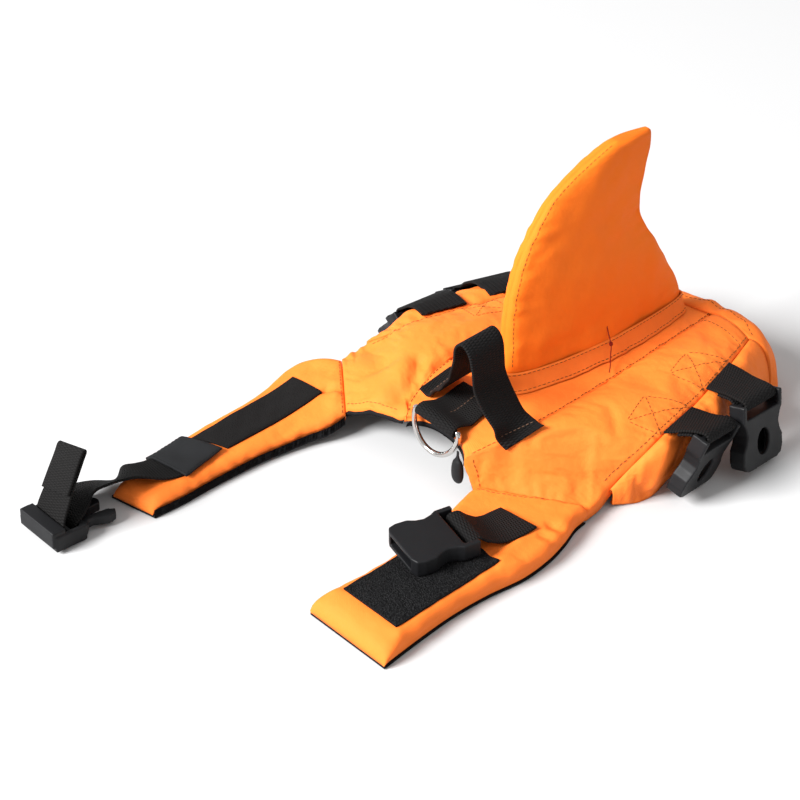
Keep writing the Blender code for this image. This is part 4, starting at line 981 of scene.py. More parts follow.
def arm_grids(table, foam, folds, seed, lip):
    """Neck arm: upright sewn sides, a quarter round at both upper edges, a flat crown between.

    Returns the orange grid, its underside, and the lining's upper and lower grids; the lining
    turns up outside the sides by the share `lip` of the foam.
    """
    rows = smooth_curve(table, STEPS)
    outer, inner = rows[:, 0:3], rows[:, 3:6]
    wide = np.linalg.norm(outer - inner, axis=1)[:, None]
    along = walk_along((inner + outer) / 2)[:, None]
    turn = np.linspace(0, math.pi / 2, 9)
    side = np.concatenate([np.zeros(5), (1 - np.cos(turn)) * ARM_CORNER]) / wide
    fall = np.concatenate([np.linspace(ARM_WALL, 0.46, 5), (1 - np.sin(turn)) * 0.42])
    inside = ARM_CORNER / wide
    middle = inside + (1 - 2 * inside) * np.linspace(0, 1, 28)[1:-1]
    s = np.concatenate([side, middle, 1 - side[:, ::-1]], axis=1)
    level = np.concatenate([fall, 0 * middle[0], fall[::-1]])
    top = across(inner, outer, s)
    from_side = np.minimum(s, 1 - s) * wide
    relief = fold_depth(top[..., 0], top[..., 1], folds)
    relief += 0.45 * pucker(from_side, along, 7.0, 11.0, seed)
    relief += 0.35 * mottle(top[..., 0], top[..., 1], 32.0, seed + 2)
    relief += 0.6 * pucker(along + 0 * s, s * wide, 6.0, 8.0, seed + 4)
    relief *= np.clip(from_side / 3.0, 0.15, 1)
    relief += 0.6 * bow(s, 4.0) - roll_off(along, 2.6, 0.9)
    relief -= roll_off(along[-1] - along, 15.0, 0.80 * foam)
    top[..., 2] += relief * (1 - level) - level * foam
    bulge = 0.5 * np.sin(math.pi * np.clip(level / ARM_WALL, 0, 1))
    bulge = bulge * (1 + 0.6 * ripple(along, 14.0, seed + 7))
    aside = unit((outer - inner) * LEVEL)[:, None]
    top += aside * (np.sign(s - 0.5) * bulge)[..., None]
    bottom = across(inner, outer, np.clip(s, 0.015, 0.985)) - UP * foam
    bottom[-1, :, 2] += 0.2
    lap = unit((inner + outer)[0] - (inner + outer)[1]) * LEVEL * ARM_LAP
    top[0] += lap
    bottom[0] += lap
    t = np.concatenate([[0.0, 0.0], columns(17), [1.0, 1.0]])
    reach = np.array([1, 1, 0.6, *[0] * 15, 0.6, 1, 1]) * (1.65 if max(lip) > 0.3 else 0.3)
    upper = across(inner, outer, t) + aside * (np.sign(t - 0.5) * reach)[:, None] - UP * (foam + 0.3)
    lower = upper.copy()
    lower[..., 2] = np.maximum(lower[..., 2] - 1.0, 0.02)
    for k, share in ((0, lip[0]), (-1, lip[1])):
        upper[:, k, 2] += share * foam
    return top, bottom, upper, lower


def points_of(mesh):
    co = np.zeros(len(mesh.vertices) * 3, np.float32)
    mesh.vertices.foreach_get("co", co)
    return co.reshape(-1, 3)


def swell(obj, free):
    """Foam under cloth: Blender's cloth, held at its seams, blown up from inside and let out a
    little, run to a standstill and written back; no point moves further than the panel's cap."""
    scene = bpy.context.scene
    look = scene.jacket_looks
    group = obj.vertex_groups.new(name="sewn")
    weight = np.round(1 - free, 2)
    for value in np.unique(weight[1 - free > 0.02]):
        spots = np.nonzero((weight == value) & (1 - free > 0.02))[0]
        group.add(spots.tolist(), float(value), "REPLACE")
    mod = obj.modifiers.new("swell", "CLOTH")
    for label, value in {"quality": 6, "mass": 0.12, "tension_stiffness": 18, "compression_stiffness": 18,
                         "shear_stiffness": 8, "bending_stiffness": 0.6, "use_pressure": True,
                         "uniform_pressure_force": look.foam_pressure, "vertex_group_mass": "sewn",
                         "pin_stiffness": 1.0, "shrink_min": -CLOTH_SLACK}.items():
        setattr(mod.settings, label, value)
    mod.settings.effector_weights.gravity = 0.0
    mod.collision_settings.use_collision = False
    mod.point_cache.frame_start, mod.point_cache.frame_end = 1, SWELL_FRAMES
    before = points_of(obj.data)
    for number in range(1, SWELL_FRAMES + 1):
        scene.frame_set(number)
    move = points_of(obj.evaluated_get(bpy.context.evaluated_depsgraph_get()).data) - before
    obj.modifiers.remove(mod)
    obj.vertex_groups.remove(group)
    far = np.linalg.norm(move, axis=1, keepdims=True)
    move *= np.minimum(1, look.swell_cap * MM / (far + 1e-12))
    obj.data.vertices.foreach_set("co", (before + move).astype(np.float32).ravel())
    obj.data.update()
    scene.frame_set(1)


def free_share(top, border_rows, border_columns):
    """1 on the open middle of the upper grid, falling to 0 at its sewn edges and underneath."""
    n, m = top.shape[:2]
    row = np.minimum(np.arange(n), np.arange(n)[::-1])[:, None] / border_rows
    column = np.minimum(np.arange(m), np.arange(m)[::-1]) / border_columns
    share = np.clip(np.minimum(row, column), 0, 1)
    return np.concatenate([share.ravel(), np.zeros(n * m)])


def cloth_panel(name, top, bottom, border=None):
    """A panel of orange cloth over black lining on its node, blown up inside the border of sewn
    rows and columns; kept with its upper grid for what is laid on it."""
    obj = shell(name + "_cloth", top, bottom, ["cloth", "lining"], 1)
    MADE[name], MADE[name + "_grid"] = obj, top
    if border:
        swell(obj, free_share(top, *border))
        grid = points_of(obj.data)[:top.shape[0] * top.shape[1]].reshape(top.shape)
        MADE[name + "_grid"] = grid.astype(float) / MM + ORIGIN
    lay(obj, name)
    return obj


def area_of(grid):
    """Area of a grid's surface in square metres, from the cross products of its cells."""
    a, b = np.diff(grid, axis=0)[:, :-1], np.diff(grid, axis=1)[:-1]
    return float(np.linalg.norm(np.cross(a, b), axis=2).sum() * MM ** 2)


class JACKET_OT_pads(Operator):
    """Foam pads, centre band, side flaps and tail flap, in orange cloth over black lining"""
    bl_idname = "jacket.sew_body"
    bl_label = "Sew the body"

    def execute(self, context):
        edges = []
        for name, table, folds, seed in (("near_pad", NEAR_SIDE, NEAR_FOLDS, 11),
                                         ("far_pad", FAR_SIDE, FAR_FOLDS, FAR_SEED)):
            top, bottom, *lines = pad_grids(table, folds, seed)
            cloth_panel(name, top, bottom, (5, 6))
            edges.append(lines)
        (near_inner, near_outer), (far_inner, far_outer) = edges
        for name, seam, hem, seed, straps in (
                ("near_flap", near_outer, NEAR_HEM, 41, [(57.0, 9.0), (104.0, 9.0)]),
                ("far_flap", far_outer, FAR_HEM, 51, [(45.0, 9.0), (92.0, 9.0)])):
            cloth_panel(name, *flap_grids(seam, hem, seed, straps), (6, 4))
        top, bottom = band_grids(near_inner, far_inner)
        cloth_panel("centre_band", top, bottom)
        area_of(top)
        tail = tail_grids(near_outer, near_inner, far_inner, far_outer)
        cloth_panel("tail_flap", *tail)
        return {"FINISHED"}


class JACKET_OT_linings(Operator):
    """Black lining strips that show below the neck edge"""
    bl_idname = "jacket.sew_linings"
    bl_label = "Sew the neck linings"

    def execute(self, context):
        band = MADE["centre_band_grid"][:int(1.5 * STEPS) + 1] - UP * BAND_THICK
        far = pad_grids(FAR_SIDE, [], FAR_SEED)[1][:NECK_ROW * STEPS, :11]
        for name, grid in (("neck_lining_band", band), ("neck_lining_far", far)):
            top = grid - UP * (SEAM_GAP + 0.1)
            ends = np.abs(np.linspace(-1, 1, top.shape[1])) ** 8
            top = top + (top[:, top.shape[1] // 2, None] - top) * (0.05 * ends)[:, None]
            low = top - UP * LEAST_WALL
            low[0] += [0, -0.4, -0.5]
            obj = shell(name + "_cloth", top, low, ["lining"])
            lay(obj, name)
            wide, long = float(np.ptp(top[..., 0])) * MM, float(max(np.ptp(top[..., 1]), 14)) * MM
            max(area_of(top), 0.31 * wide * long * 1.25 ** 2)
        return {"FINISHED"}


class JACKET_OT_arms(Operator):
    """Padded neck arms with their black linings turned up at the sides"""
    bl_idname = "jacket.sew_arms"
    bl_label = "Sew the neck arms"

    def execute(self, context):
        for name, *row in (("near_arm", NEAR_ARM, NEAR_ARM_FOAM, NEAR_ARM_FOLDS, 81, (0.04, 0.04)),
                           ("far_arm", FAR_ARM, FAR_ARM_FOAM, FAR_ARM_FOLDS, 91, (0.52, 0.06))):
            top, bottom, upper, lower = arm_grids(*row)
            cloth_panel(name, top, bottom, (6, 14))
            lining = shell(name + "_lining_cloth", upper, lower, ["lining"])
            lay(lining, name + "_lining")
            long, area = float(walk_along(lower[:, 10])[-1]) * MM, area_of(lower)
        return {"FINISHED"}


# ---------------------------------------------------------------- fin

def fin_axes():
    """The fin's front foot, its way back and its side, all level."""
    front, back = np.array([*FIN_FRONT, 0.0]), np.array([*FIN_BACK, 0.0])
    along = unit(back - front)
    return front, along, np.array([along[1], -along[0], 0.0])


def fin_ring(lead, trail, z, half, spread=0.0, points=40):
    """One level of the fin: a lens, full in front and thin behind, as a closed ring."""
    front, along, side = fin_axes()
    u = 0.5 - 0.5 * np.cos(np.linspace(0, math.pi, points))
    full = half * (np.sin(math.pi * u ** 0.72) ** 0.54) + 1.2
    full[0] = full[-1] = 0.8
    middle = front + along * (lead + (trail - lead) * u)[:, None]
    aside = side * (full + spread)[:, None]
    ring = np.vstack([middle + aside, (middle - aside)[::-1]])
    ring[:, 2] = z
    return ring


def fin_rings():
    """All levels of the fin on smooth curves, with gathers at its edges and soft dents."""
    levels = smooth_curve(FIN_LEVELS, 8)
    rings = np.array([fin_ring(*level) for level in levels])
    front, along, side = fin_axes()
    reach = np.sum((rings - front) * along, axis=2)
    from_lead, from_trail = reach - levels[:, :1], levels[:, 1:2] - reach
    face = np.sign(np.sum((rings - front) * side, axis=2))
    z = rings[..., 2]
    climb, fall = (walk_along(levels[:, [column, 2]])[:, None] for column in (0, 1))
    relief = 0.75 * pucker(from_lead, climb, 6.0, 9.0, 101) + 0.7 * pucker(from_trail, fall, 9.0, 11.0, 103)
    relief += 1.1 * mottle(reach, z, 52.0, 105) + 0.35 * mottle(reach, z, 20.0, 107)
    relief += fold_depth(reach, z, FIN_FOLDS)
    relief *= np.clip(np.minimum(from_lead, from_trail) / 3.0, 0, 1)
    relief *= np.clip(levels[:, 3:4] / 8.0, 0.15, 1)
    wobble = 0.28 * ripple(fall, 17.0, 109) * np.clip(1 - from_trail / 6.0, 0, 1)
    return rings + side * (relief * face)[..., None] + along * wobble[..., None]


class JACKET_OT_fin(Operator):
    """The stuffed fin and its flared foot"""
    bl_idname = "jacket.stand_fin"
    bl_label = "Stand the fin"

    def execute(self, context):
        MADE["fin_rings"] = fin_rings()
        fin = tube("fin_cloth", MADE["fin_rings"], ["fin"])
        lay(fin, "fin")
        self.foot()
        return {"FINISHED"}

    def foot(self):
        """Foot strip: the fin's own ring spread outwards and down to the band, hem turned under."""
        top = fin_ring(0.2, 136.2, 53.0, 11.6, 0.5)
        low = fin_ring(-2.5, 136.4, 44.0, 13.0, 5.0)
        low = Ground("centre_band", "near_pad", "far_pad").drop(low)[0] + UP * SEAM_GAP
        way = unit((top - top.mean(axis=0)) * LEVEL)
        t = np.linspace(0, 1, 12)[:, None]
        walk = walk_along(top)
        flared = top + (low - top) * t[..., None] ** 1.15
        gather = 0.55 * ripple(walk, 9.0, 121) * np.sin(math.pi * t) + 0.5 * t * ripple(walk, 16.0, 123)
        outer = flared + way * (1.2 + gather)[..., None]
        outer[..., 2] = top[:, 2] + (low - top)[:, 2] * t ** 0.9
        outer[-1, :, 2] = low[:, 2] + 0.5
        inner = flared + way * 0.25
        inner[..., 2] = np.minimum(inner[..., 2], outer[..., 2] - 0.1)
        rings = np.concatenate([outer, inner[::-1]]).transpose(1, 0, 2)
        skirt = tube("fin_skirt_cloth", rings, ["cloth"], closed=True)
        lay(skirt, "fin_skirt")
        length = float(walk_along(np.vstack([low, low[:1]]))[-1]) * MM
        MADE["foot_lines"] = (outer, way)


# ---------------------------------------------------------------- webbing and ring

def seat(spot, way, ground, lift):
    """Middle and width direction of webbing sewn down across a spot: the highest line under it."""
    reach = np.linspace(-WEB_HANDLE / 2 + 1, WEB_HANDLE / 2 - 1, 9)
    z = ground.drop(np.array(spot) + np.array(way) * reach[:, None])[0][:, 2]
    slope = np.polyfit(reach, z, 1)[0]
    height = np.max(z - slope * reach) + lift + WEB_THICK / 2 * math.hypot(1, slope)
    return (*spot, height, *way, slope)


def half_turn(bar, radius, up, run):
    """Half a circle round a bar, from above it over `run` to below it."""
    a = np.linspace(0, math.pi, 17)[:, None]
    return bar + radius * (np.cos(a) * up + np.sin(a) * run)


class JACKET_OT_handle(Operator):
    """Grab handle, ring webbing, ring and pull tab on the spine"""
    bl_idname = "jacket.sew_spine"
    bl_label = "Sew handle and ring"

    def execute(self, context):
        self.handle()
        self.ring_webbing()
        self.ring()
        self.tab()
        return {"FINISHED"}

    def handle(self):
        ground = Ground("near_pad", "far_pad", "centre_band")
        near = [seat(spot, HANDLE_NEAR_WAY, ground, 0.6) for spot in HANDLE_NEAR_END]
        far = [seat(spot, (0.0, 1.0), ground, 0.6) for spot in HANDLE_FAR_END]
        rows = smooth_curve(near + [(*spot, 0.0, 1.0, 0.0) for spot in HANDLE_RISE] + far, 10)
        path, side, face = webbing("handle_webbing", "handle", rows[:, :3], rows[:, 3:6], WEB_HANDLE,
                                   gap=1.0, wave=0.8, seed=131)
        up = face * np.sign(face[:, 2:3] + 1e-9)
        span = np.linspace(1.4 - WEB_HANDLE / 2, WEB_HANDLE / 2 - 1.4, 30)[:, None]
        lines = [(path[k] + up[k] * WEB_CROWN + side[k] * span, np.tile(up[k], (30, 1)))
                 for k in (7, len(path) - 8)]
        stitches("handle_stitches", "black_webbing", "beige_thread", lines, *WEB_STITCH)

    def ring_webbing(self):
        bar, way = np.array(RING_BAR), unit(np.array(RING_BAR_WAY))
        radius = RING_WIRE / 2 + SEAM_GAP + WEB_THICK / 2
        fold = unit(np.cross(way, UP))
        up = np.cross(fold, way)
        up *= np.sign(up[2])
        turn = half_turn(bar, radius, up, fold)
        ground = Ground("centre_band")
        run = [(bar[0] + 1.5, y, max(ground.highest([(x, y) for x in np.linspace(56, 82, 7)]) + 2.2, 40.5))
               for y in (-4.0, -12.0, -19.0, -26.0)]
        path = np.vstack([run, bar + radius * up - fold * 3.0, turn, turn[-1] - fold * 2.2])
        sides = np.tile(way, (len(path), 1))
        sides[:3] = (1, 0, 0)
        line, _, face = webbing("ring_webbing", "ring_loop", path, sides, WEB_RING,
                                gap=0.7, wave=0.4, seed=137)
        count = int(len(line) * 0.62)
        up = face[:count] * np.sign(face[:count // 2, 2].mean() + 1e-9)
        stitches("ring_webbing_stitches", "black_webbing", "beige_thread",
                 [(line[:count] + up * WEB_CROWN, up)], *WEB_STITCH)

    def ring(self):
        """Round wire carried round a D: a straight bar, small corners and a half ellipse."""
        bar, way, down = np.array(RING_BAR), unit(np.array(RING_BAR_WAY)), np.array(RING_HANG)
        down = unit(down - way * np.dot(down, way))
        front = np.cross(way, down)
        half, corner = WEB_RING / 2 + 2.1, 1.9
        bend = np.radians(np.linspace(8, 90, 8))[:, None]
        reach, sink = way * (half - corner + corner * np.sin(bend)), down * corner * (1 - np.cos(bend))
        turn = np.radians(np.arange(4, 180, 4))[:, None]
        arc = bar + way * half * np.cos(turn) + down * (corner + (RING_DEPTH - corner) * np.sin(turn))
        straight = bar + way * np.linspace(-(half - corner), half - corner, 24)[:, None]
        line = np.vstack([straight, bar + reach + sink, arc, (bar - reach + sink)[::-1]])
        run = unit(np.roll(line, -1, axis=0) - np.roll(line, 1, axis=0))
        rings = wire(line, RING_WIRE / 2, np.cross(run, front), np.broadcast_to(front, line.shape), 20)
        lay(tube("ring_wire", rings, ["nickel"], closed=True), "d_ring", "d_ring")

    def tab(self):
        """Drop of moulded plastic: an oval whose radius follows a smooth table of heights."""
        z, radius = np.hsplit(smooth_curve(TAB_LEVELS, 5), 2)
        turn = round_angles(28)
        rings = np.stack([TAB_X + radius * np.cos(turn), TAB_Y + 0.55 * radius * np.sin(turn),
                          z + 0 * turn], axis=-1)
        lay(tube("pull_tab_drop", rings, ["plastic"]), "pull_tab")


# ---------------------------------------------------------------- straps and buckles

def bar_turn(bar, run, across_bar):
    """Half a turn of webbing round a buckle's bar from above, and the way up from the bar."""
    run = unit(run - across_bar * np.dot(run, across_bar))
    up = np.cross(across_bar, run)
    up = up * (1.0 if up[2] > 0 else -1.0)
    return half_turn(bar, LOOP_RADIUS, up, run), up


def turning(first, last, count, tail):
    """The width's direction along a path: turning from `first` to `last`, then staying."""
    t = np.clip(np.linspace(0, 1.45, count), 0, 1)[:, None]
    side = np.asarray(first, float) * (1 - t) + np.asarray(last, float) * t
    return np.vstack([side, np.tile(np.asarray(last, float), (tail, 1))])


def moulded(node):
    """Moulded half of a buckle: a copy of its solid, merged, its surface remade in fine cells and
    relaxed so that every edge is rounded."""
    obj = linked(node + "_moulded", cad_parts[node].data.copy())
    edit(obj.data, lambda bm: bmesh.ops.remove_doubles(bm, verts=bm.verts, dist=1e-6))
    remesh = obj.modifiers.new("fine_cells", "REMESH")
    remesh.mode = "VOXEL"
    remesh.voxel_size = bpy.context.scene.jacket_looks.mould_cell * 1.0 * MM
    remesh.use_smooth_shade = True
    soften = obj.modifiers.new("round_edges", "SMOOTH")
    soften.factor, soften.iterations = 0.5, 9
    graph = bpy.context.evaluated_depsgraph_get()
    baked = bpy.data.meshes.new_from_object(obj.evaluated_get(graph), depsgraph=graph)
    obj.modifiers.clear()
    obj.data = baked
    baked.materials.clear()
    baked.materials.append(finish_of("plastic"))
    lay(obj, node, JACKET if node == "neck_buckle_male" else node)


class JACKET_OT_belly(Operator):
    """Belly straps on both sides, with the halves of their buckles"""
    bl_idname = "jacket.sew_belly_straps"
    bl_label = "Sew the belly straps"

    def execute(self, context):
        for name, row in BELLY.items():
            self.strap(name, *row)
        for name in BELLY:
            moulded("belly_buckle_" + name)
        return {"FINISHED"}

    def strap(self, name, start, seam_way, bar, across_bar):
        start, bar, across_bar = np.array(start), np.array(bar), unit(np.array(across_bar))
        lead = [start, *map(np.array, FAR_RUN.get(name, ()))]
        hanging = len(lead) > 1
        run = unit(bar - lead[-1]) if hanging else unit((bar - start) * LEVEL)
        turn, up = bar_turn(bar, run, across_bar)
        rise = up * LOOP_RADIUS
        back = [bar - rise - run * (2.5 if hanging else 2.0)]
        if not hanging:
            end = bar + rise - run * 3.0
            lead = [start + (end - start) * t for t in np.linspace(0, 1, 6)[:-1]]
            back += [lead[k] - UP * (WEB_THICK + 0.6) for k in (4, 3, 2)]
        lead.append(bar + rise - run * 2.5)
        side = turning(seam_way, across_bar, len(lead), len(turn) + len(back))
        if not hanging:
            side[-3:] = side[[4, 3, 2]]
        webbing("belly_webbing_" + name, "belly_strap_" + name, np.vstack([lead, turn, back]), side,
                WEB_BODY, wave=0.5, seed=len(name) + 141)


class JACKET_OT_neck(Operator):
    """Neck strap and buckle on the near arm, webbing, keeper and adjuster on the far arm"""
    bl_idname = "jacket.sew_neck_straps"
    bl_label = "Sew the neck straps"

    def execute(self, context):
        tops = [self.patch(*row) for row in PATCHES]
        self.patch_seams(tops)
        self.near_strap()
        self.far_webbing()
        for node in ("neck_buckle_female", "neck_buckle_male"):
            moulded(node)
        return {"FINISHED"}

    def patch(self, name, node, corners, under, thick, finish, slot, lift, cells, bulge, seed):
        """A flat piece sewn on: four corners in plan, laid on the cloth, edges pressed down."""
        c = np.asarray(corners, float)
        u, v = columns(cells[0])[:, None], columns(cells[1])
        shares = ((1 - u) * (1 - v), u * (1 - v), u * v, (1 - u) * v)
        plan = sum(share[..., None] * corner for share, corner in zip(shares, c))
        low = Ground(*under).drop(plan.reshape(-1, 2))[0].reshape(*plan.shape[:2], 3)
        z = low[..., 2]
        for _ in range(6):
            mean = (z[:-2, 1:-1] + z[2:, 1:-1] + z[1:-1, :-2] + z[1:-1, 2:]) / 4
            z[1:-1, 1:-1] = np.maximum(z[1:-1, 1:-1], mean)
        low[..., 2] = z + lift
        edge = np.minimum(bow(u, 10), bow(v, 10))
        top = low + UP * thick
        uneven = bulge + 0.25 * mottle(top[..., 0], top[..., 1], 14.0, seed)
        top[..., 2] += uneven * edge - 0.35 * (1 - edge)
        MADE[name] = shell(name, top, low, [finish])
        lay(MADE[name], node)
        return top

    def patch_seams(self, tops):
        lines = []
        for top in tops:
            ring = np.vstack([top[2, 2:-2], top[2:-2, -3], top[-3, 2:-2][::-1], top[2:-2, 2][::-1]])
            lines.append((ring + UP * 0.05, np.tile(UP, (len(ring), 1))))
        stitches("patch_stitches", "black_tape", "web", lines, 1.8, 0.8, 0.4)

    def near_strap(self):
        bar, run = np.array(NECK_BAR), unit(np.array(NECK_AXIS))
        across_bar = np.cross(run, UP)
        spots = [(x, y) for x in (124.0, 134.0, 144.0) for y in (-45.0, -55.0)]
        lie = Ground("near_arm").highest(spots) + 0.1 + WEB_THICK / 2
        lead = [(135.0, -43.0, lie), (134.2, -50.0, lie), (133.2, -57.0, lie), (131.6, -63.0, lie + 1.0),
                (129.4, -69.5, lie + 5.0), (127.9, -73.6, bar[2] + LOOP_RADIUS)]
        turn, _ = bar_turn(bar, run, across_bar)
        path = np.vstack([lead, turn, bar - UP * LOOP_RADIUS - run * 1.6])
        sides = turning((-1, -0.08, 0), across_bar, len(lead), len(path) - len(lead))
        webbing("neck_strap_webbing", "neck_strap", path, sides, WEB_NECK, passes=4, wave=0.4, seed=161)

    def far_webbing(self):
        """Webbing from under the keeper to the adjuster's bar and round it, then up to its end,
        which is folded over and sewn down as a hem."""
        rows = smooth_curve(NECK_WEB, 12)
        turn = half_turn(np.array(ADJUST_BAR), LOOP_RADIUS, np.array([0.0, 1.0, 0.0]), -UP)
        down = [(-41.2, -210.6, 11.0), (-41.0, -212.6, 9.4)]
        rise = smooth_curve(WEB_TAIL, 10)
        slope = unit(rise[-1] - rise[-2])
        out = np.cross(slope, (1.0, 0, 0))
        out = out * -np.sign(out[1])
        offset = WEB_THICK / 2 + 0.25
        b = np.linspace(math.pi / 6, math.pi, 9)[:, None]
        fold = rise[-1] + slope * offset * np.sin(b) + out * offset * (1 - np.cos(b))
        hem = fold[-1] - slope * HEM_LENGTH * np.linspace(0.1, 1.0, 8)[:, None]
        level = np.tile((1.0, 0, 0), (len(down) + len(turn), 1))
        lean = turning((1.0, 0, 0), TAIL_SIDE, len(rise), len(fold) + len(hem))
        webbing("neck_webbing_strap", "neck_webbing", np.vstack([rows[:, :3], down, turn, rise, fold, hem]),
                np.vstack([rows[:, 3:6], level, lean]), WEB_NECK, passes=2, wave=0.3, seed=171)


# ---------------------------------------------------------------- sewing

class JACKET_OT_sewing(Operator):
    """Thread: channels, seams, box stitches, hems and the loose red thread on the foot strip"""
    bl_idname = "jacket.sew_threads"
    bl_label = "Sew the threads"

    def execute(self, context):
        look = context.scene.jacket_looks
        sizes = look.stitch_length / MM, look.stitch_gap / MM, look.thread_thick / MM
        ground = Ground("near_pad", "far_pad", "centre_band", "near_arm", "far_arm", "near_flap",
                        "far_flap", "tail_flap")
        pads = [MADE["near_pad_grid"], MADE["far_pad_grid"]]
        lines = [self.upright(MADE["centre_band_grid"][6:, column], 0.35) for column in (1, -2)]
        for grid in pads:
            lines.append(self.on_grid(grid, -5, NECK_ROW * STEPS))
            lines.append(self.on_grid(grid, 5, 0, NECK_ROW * STEPS))
        lines.append(ground.drop(evenly(smooth_curve(ROOT_LINE, 8), 1.5), 0.1))
        lines.append(ground.drop(evenly(FAR_ROOT_LINE, 1.5), 0.1))
        for a, b, c, d in BOXES:
            for ends in ((a, b), (b, c), (a, d), (a, c), (b, d)):
                lines.append(ground.drop(evenly(ends, 1.5), 0.16))
        lines += [self.upright(grid[-6, 2:-2], 0.1) for grid in pads]
        lines.append(self.on_grid(MADE["tail_flap_grid"], 4, 2))
        stitches("seam_stitches", "orange_cloth", "thread", lines, *sizes)
        self.fin_lines(sizes)
        self.red_thread()
        return {"FINISHED"}

    def upright(self, row, lift):
        """A row of points raised a little, sewn from above."""
        return row + UP * lift, np.tile(UP, (len(row), 1))

    def on_grid(self, grid, column, first, last=None):
        """A line of the grid at one column, raised along the grid's own normals."""
        rows = slice(first, last)
        normals = grid_normals(grid, UP)[rows, column]
        return grid[rows, column] + normals * 0.15, normals

    def fin_lines(self, sizes):
        """The fin's leading seam, both seams of the near foot strip and the lower far one."""
        _, along, side = fin_axes()
        lead = MADE["fin_rings"][10:-6, 3]
        normal = np.tile(unit(side * 0.8 - along * 0.6), (len(lead), 1))
        outer, way = MADE["foot_lines"]
        half = outer.shape[1] // 2
        near, far = slice(1, half - 1), slice(half + 1, -1)
        lines = [(lead + normal * 0.08, normal)]
        for row, part, lift in ((1, near, 0.1), (-3, near, 0.15), (-3, far, 0.15)):
            lines.append((outer[row, part] + way[part] * lift, unit(way[part] + 0.8 * UP)))
        stitches("fin_stitches", "fin_cloth", "thread", lines, *sizes)

    def red_thread(self):
        """Loose thread end: a round thread on a smooth curve with a small knot partway."""
        line = evenly(smooth_curve(RED_THREAD, 10), 0.5)
        t = np.linspace(0, 6 * math.pi, 60)[:, None]
        knot = line[len(line) // 3] + 0.75 * np.hstack(
            [np.cos(t) * (1 + 0.3 * np.cos(1.7 * t)), np.sin(t), np.sin(1.7 * t)])
        for name, points in (("loose_red_thread", line), ("loose_red_knot", knot)):
            run = unit(np.gradient(points, axis=0))
            side = unit(np.cross(run, (0.3, 0.2, 1.0)))
            rings = wire(points, RED_RADIUS, side, np.cross(side, run), 8)
            lay(tube(name, rings, ["red_thread"]), None)


# ---------------------------------------------------------------- studio

class JACKET_OT_studio(Operator):
    """Pale floor, soft studio light and the camera"""
    bl_idname = "jacket.set_studio"
    bl_label = "Set the studio"

    def execute(self, context):
        look, scene = context.scene.jacket_looks, context.scene
        scene.view_settings.view_transform = "Standard"
        scene.view_settings.look = "None"
        self.floor(look.floor_color)
        world = bpy.data.worlds.new("studio")
        world.use_nodes = True
        feed(world.node_tree.nodes["Background"], Color=(1.0, 1.0, 1.0), Strength=look.sky_strength)
        scene.world = world
        self.area("key", KEY_PLACE, KEY_SIZE, look.key_power)
        self.area("fill", FILL_PLACE, FILL_SIZE, look.fill_power)
        self.camera(scene)
        return {"FINISHED"}

    def floor(self, color):
        mat, _, shader, _, _ = blank("studio_floor", 0.9, 0.1)
        feed(shader, Base_Color=color)
        side = np.linspace(-6.0, 6.0, 25)
        x, y = np.meshgrid(side, side, indexing="ij")
        points = np.stack([x, y, np.full(x.shape, -0.0002)], axis=-1)
        mesh = bpy.data.meshes.new("studio_floor")
        mesh.from_pydata(points.reshape(-1, 3).tolist(), [], quads(25, 25)[:, ::-1].tolist())
        mesh.materials.append(mat)
        linked("studio_floor", mesh)

    def aimed(self, name, data, spot, way):
        obj = linked(name, data)
        obj.location = spot
        obj.rotation_mode = "QUATERNION"
        obj.rotation_quaternion = way.to_track_quat("-Z", "Y")
        return obj

    def area(self, name, spot, size, power):
        lamp = bpy.data.lights.new(name, "AREA")
        lamp.energy, lamp.size = power, size
        self.aimed(name, lamp, spot, -Vector(spot))

    def camera(self, scene):
        """Looks at the table's origin from CAMERA_TURN round and CAMERA_RISE up."""
        turn, rise = math.radians(CAMERA_TURN), math.radians(CAMERA_RISE)
        back = Vector((math.sin(turn) * math.cos(rise), -math.cos(turn) * math.cos(rise), math.sin(rise)))
        data = bpy.data.cameras.new("camera")
        data.sensor_width = 36.0
        data.lens = 18.0 / math.tan(math.radians(CAMERA_FIELD) / 2)
        data.clip_start, data.clip_end = 0.01, 30.0
        place = Vector(to_frame((0.0, 0.0, 0.0))) + back * CAMERA_FAR
        scene.camera = self.aimed("camera", data, place, -back)


# ---------------------------------------------------------------- panel and run

COLOR = {"subtype": "COLOR", "size": 3, "min": 0, "max": 1}


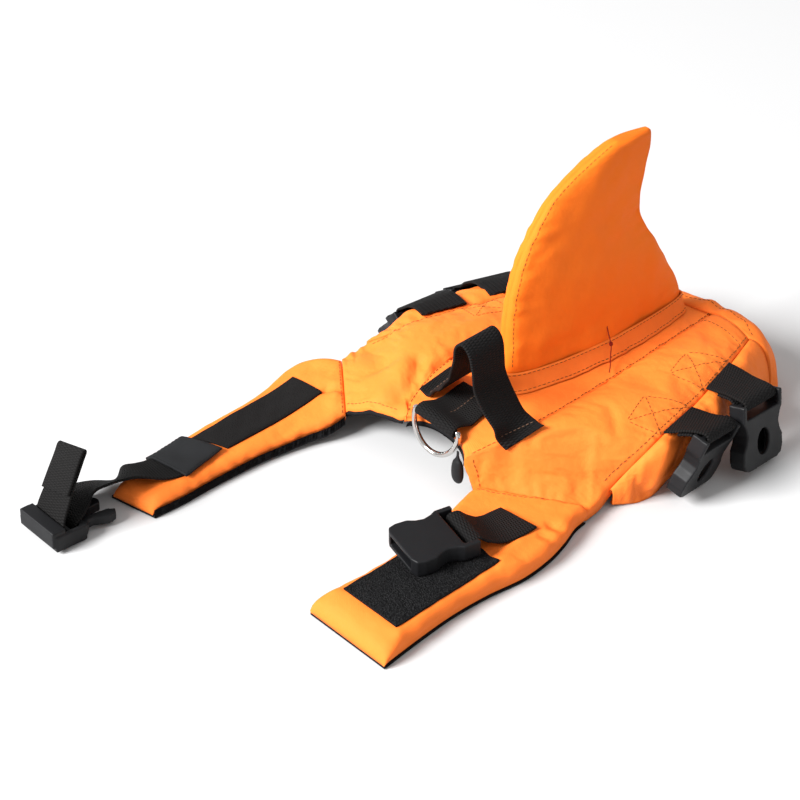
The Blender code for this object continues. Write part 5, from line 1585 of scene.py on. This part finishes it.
class JacketLooks(PropertyGroup):
    cloth_color: FloatVectorProperty(
        name="Cloth", description="Orange of the body cloth", default=(0.88, 0.192, 0.026), **COLOR)
    cloth_deep: FloatVectorProperty(
        name="Cloth, deep", description="Orange in the dye's darker patches",
        default=(0.83, 0.158, 0.018), **COLOR)
    # The fin's oranges are the body cloth's with less green and blue: painted shade of the fin's side.
    fin_shaded_color: FloatVectorProperty(
        name="Fin", description="Orange of the fin's cloth", default=(0.92, 0.178, 0.011), **COLOR)
    fin_shaded_deep: FloatVectorProperty(
        name="Fin, deep", description="Orange in the fin's darker patches",
        default=(0.87, 0.142, 0.007), **COLOR)
    web_color: FloatVectorProperty(
        name="Webbing", description="Black of the webbing", default=(0.0034, 0.0031, 0.0031), **COLOR)
    plastic_color: FloatVectorProperty(
        name="Plastic", description="Black of the buckles", default=(0.0042, 0.0043, 0.0050), **COLOR)
    thread_color: FloatVectorProperty(
        name="Thread", description="Brown of the top stitching", default=(0.11, 0.044, 0.013), **COLOR)
    floor_color: FloatVectorProperty(
        name="Floor", description="Colour of the studio floor", default=(0.50, 0.50, 0.502), **COLOR)
    stitch_length: FloatProperty(
        name="Stitch", description="Length of one stitch", unit="LENGTH", default=0.0023)
    stitch_gap: FloatProperty(
        name="Stitch gap", description="Space between stitches", unit="LENGTH", default=0.0007)
    thread_thick: FloatProperty(
        name="Thread thickness", description="Diameter of the thread", unit="LENGTH", default=0.00042)
    foam_pressure: FloatProperty(
        name="Foam pressure", description="How hard the foam swells the cloth", default=1.8)
    swell_cap: FloatProperty(
        name="Swell", description="Furthest a point of the cloth moves, mm", default=1.8)
    mould_cell: FloatProperty(
        name="Mould cell", description="Cell of the buckles' surface, mm", default=0.45)
    sky_strength: FloatProperty(name="Sky", description="Strength of the even light", default=0.60)
    key_power: FloatProperty(name="Key", description="Power of the key light, W", default=840.0)
    fill_power: FloatProperty(name="Fill", description="Power of the fill light, W", default=4.0)


OPERATORS = (JACKET_OT_pads, JACKET_OT_linings, JACKET_OT_arms, JACKET_OT_fin, JACKET_OT_handle,
             JACKET_OT_belly, JACKET_OT_neck, JACKET_OT_sewing, JACKET_OT_studio)


class JACKET_PT_sidebar(Panel):
    bl_label = "Dog life jacket"
    bl_idname = "JACKET_PT_sidebar"
    bl_space_type = "VIEW_3D"
    bl_region_type = "UI"
    bl_category = "Jacket"

    def draw(self, context):
        for name in JacketLooks.__annotations__:
            self.layout.prop(context.scene.jacket_looks, name)
        for step in OPERATORS:
            self.layout.operator(step.bl_idname)


CLASSES = (JacketLooks, *OPERATORS, JACKET_PT_sidebar)


def register():
    for each in CLASSES:
        bpy.utils.register_class(each)
    bpy.types.Scene.jacket_looks = PointerProperty(type=JacketLooks)


def unregister():
    del bpy.types.Scene.jacket_looks
    for each in reversed(CLASSES):
        bpy.utils.unregister_class(each)


def main():
    register()
    bpy.ops.jacket.sew_body()
    bpy.ops.jacket.sew_linings()
    bpy.ops.jacket.sew_arms()
    bpy.ops.jacket.stand_fin()
    bpy.ops.jacket.sew_spine()
    bpy.ops.jacket.sew_belly_straps()
    bpy.ops.jacket.sew_neck_straps()
    bpy.ops.jacket.sew_threads()
    bpy.ops.jacket.set_studio()


if __name__ == "__main__":
    main()
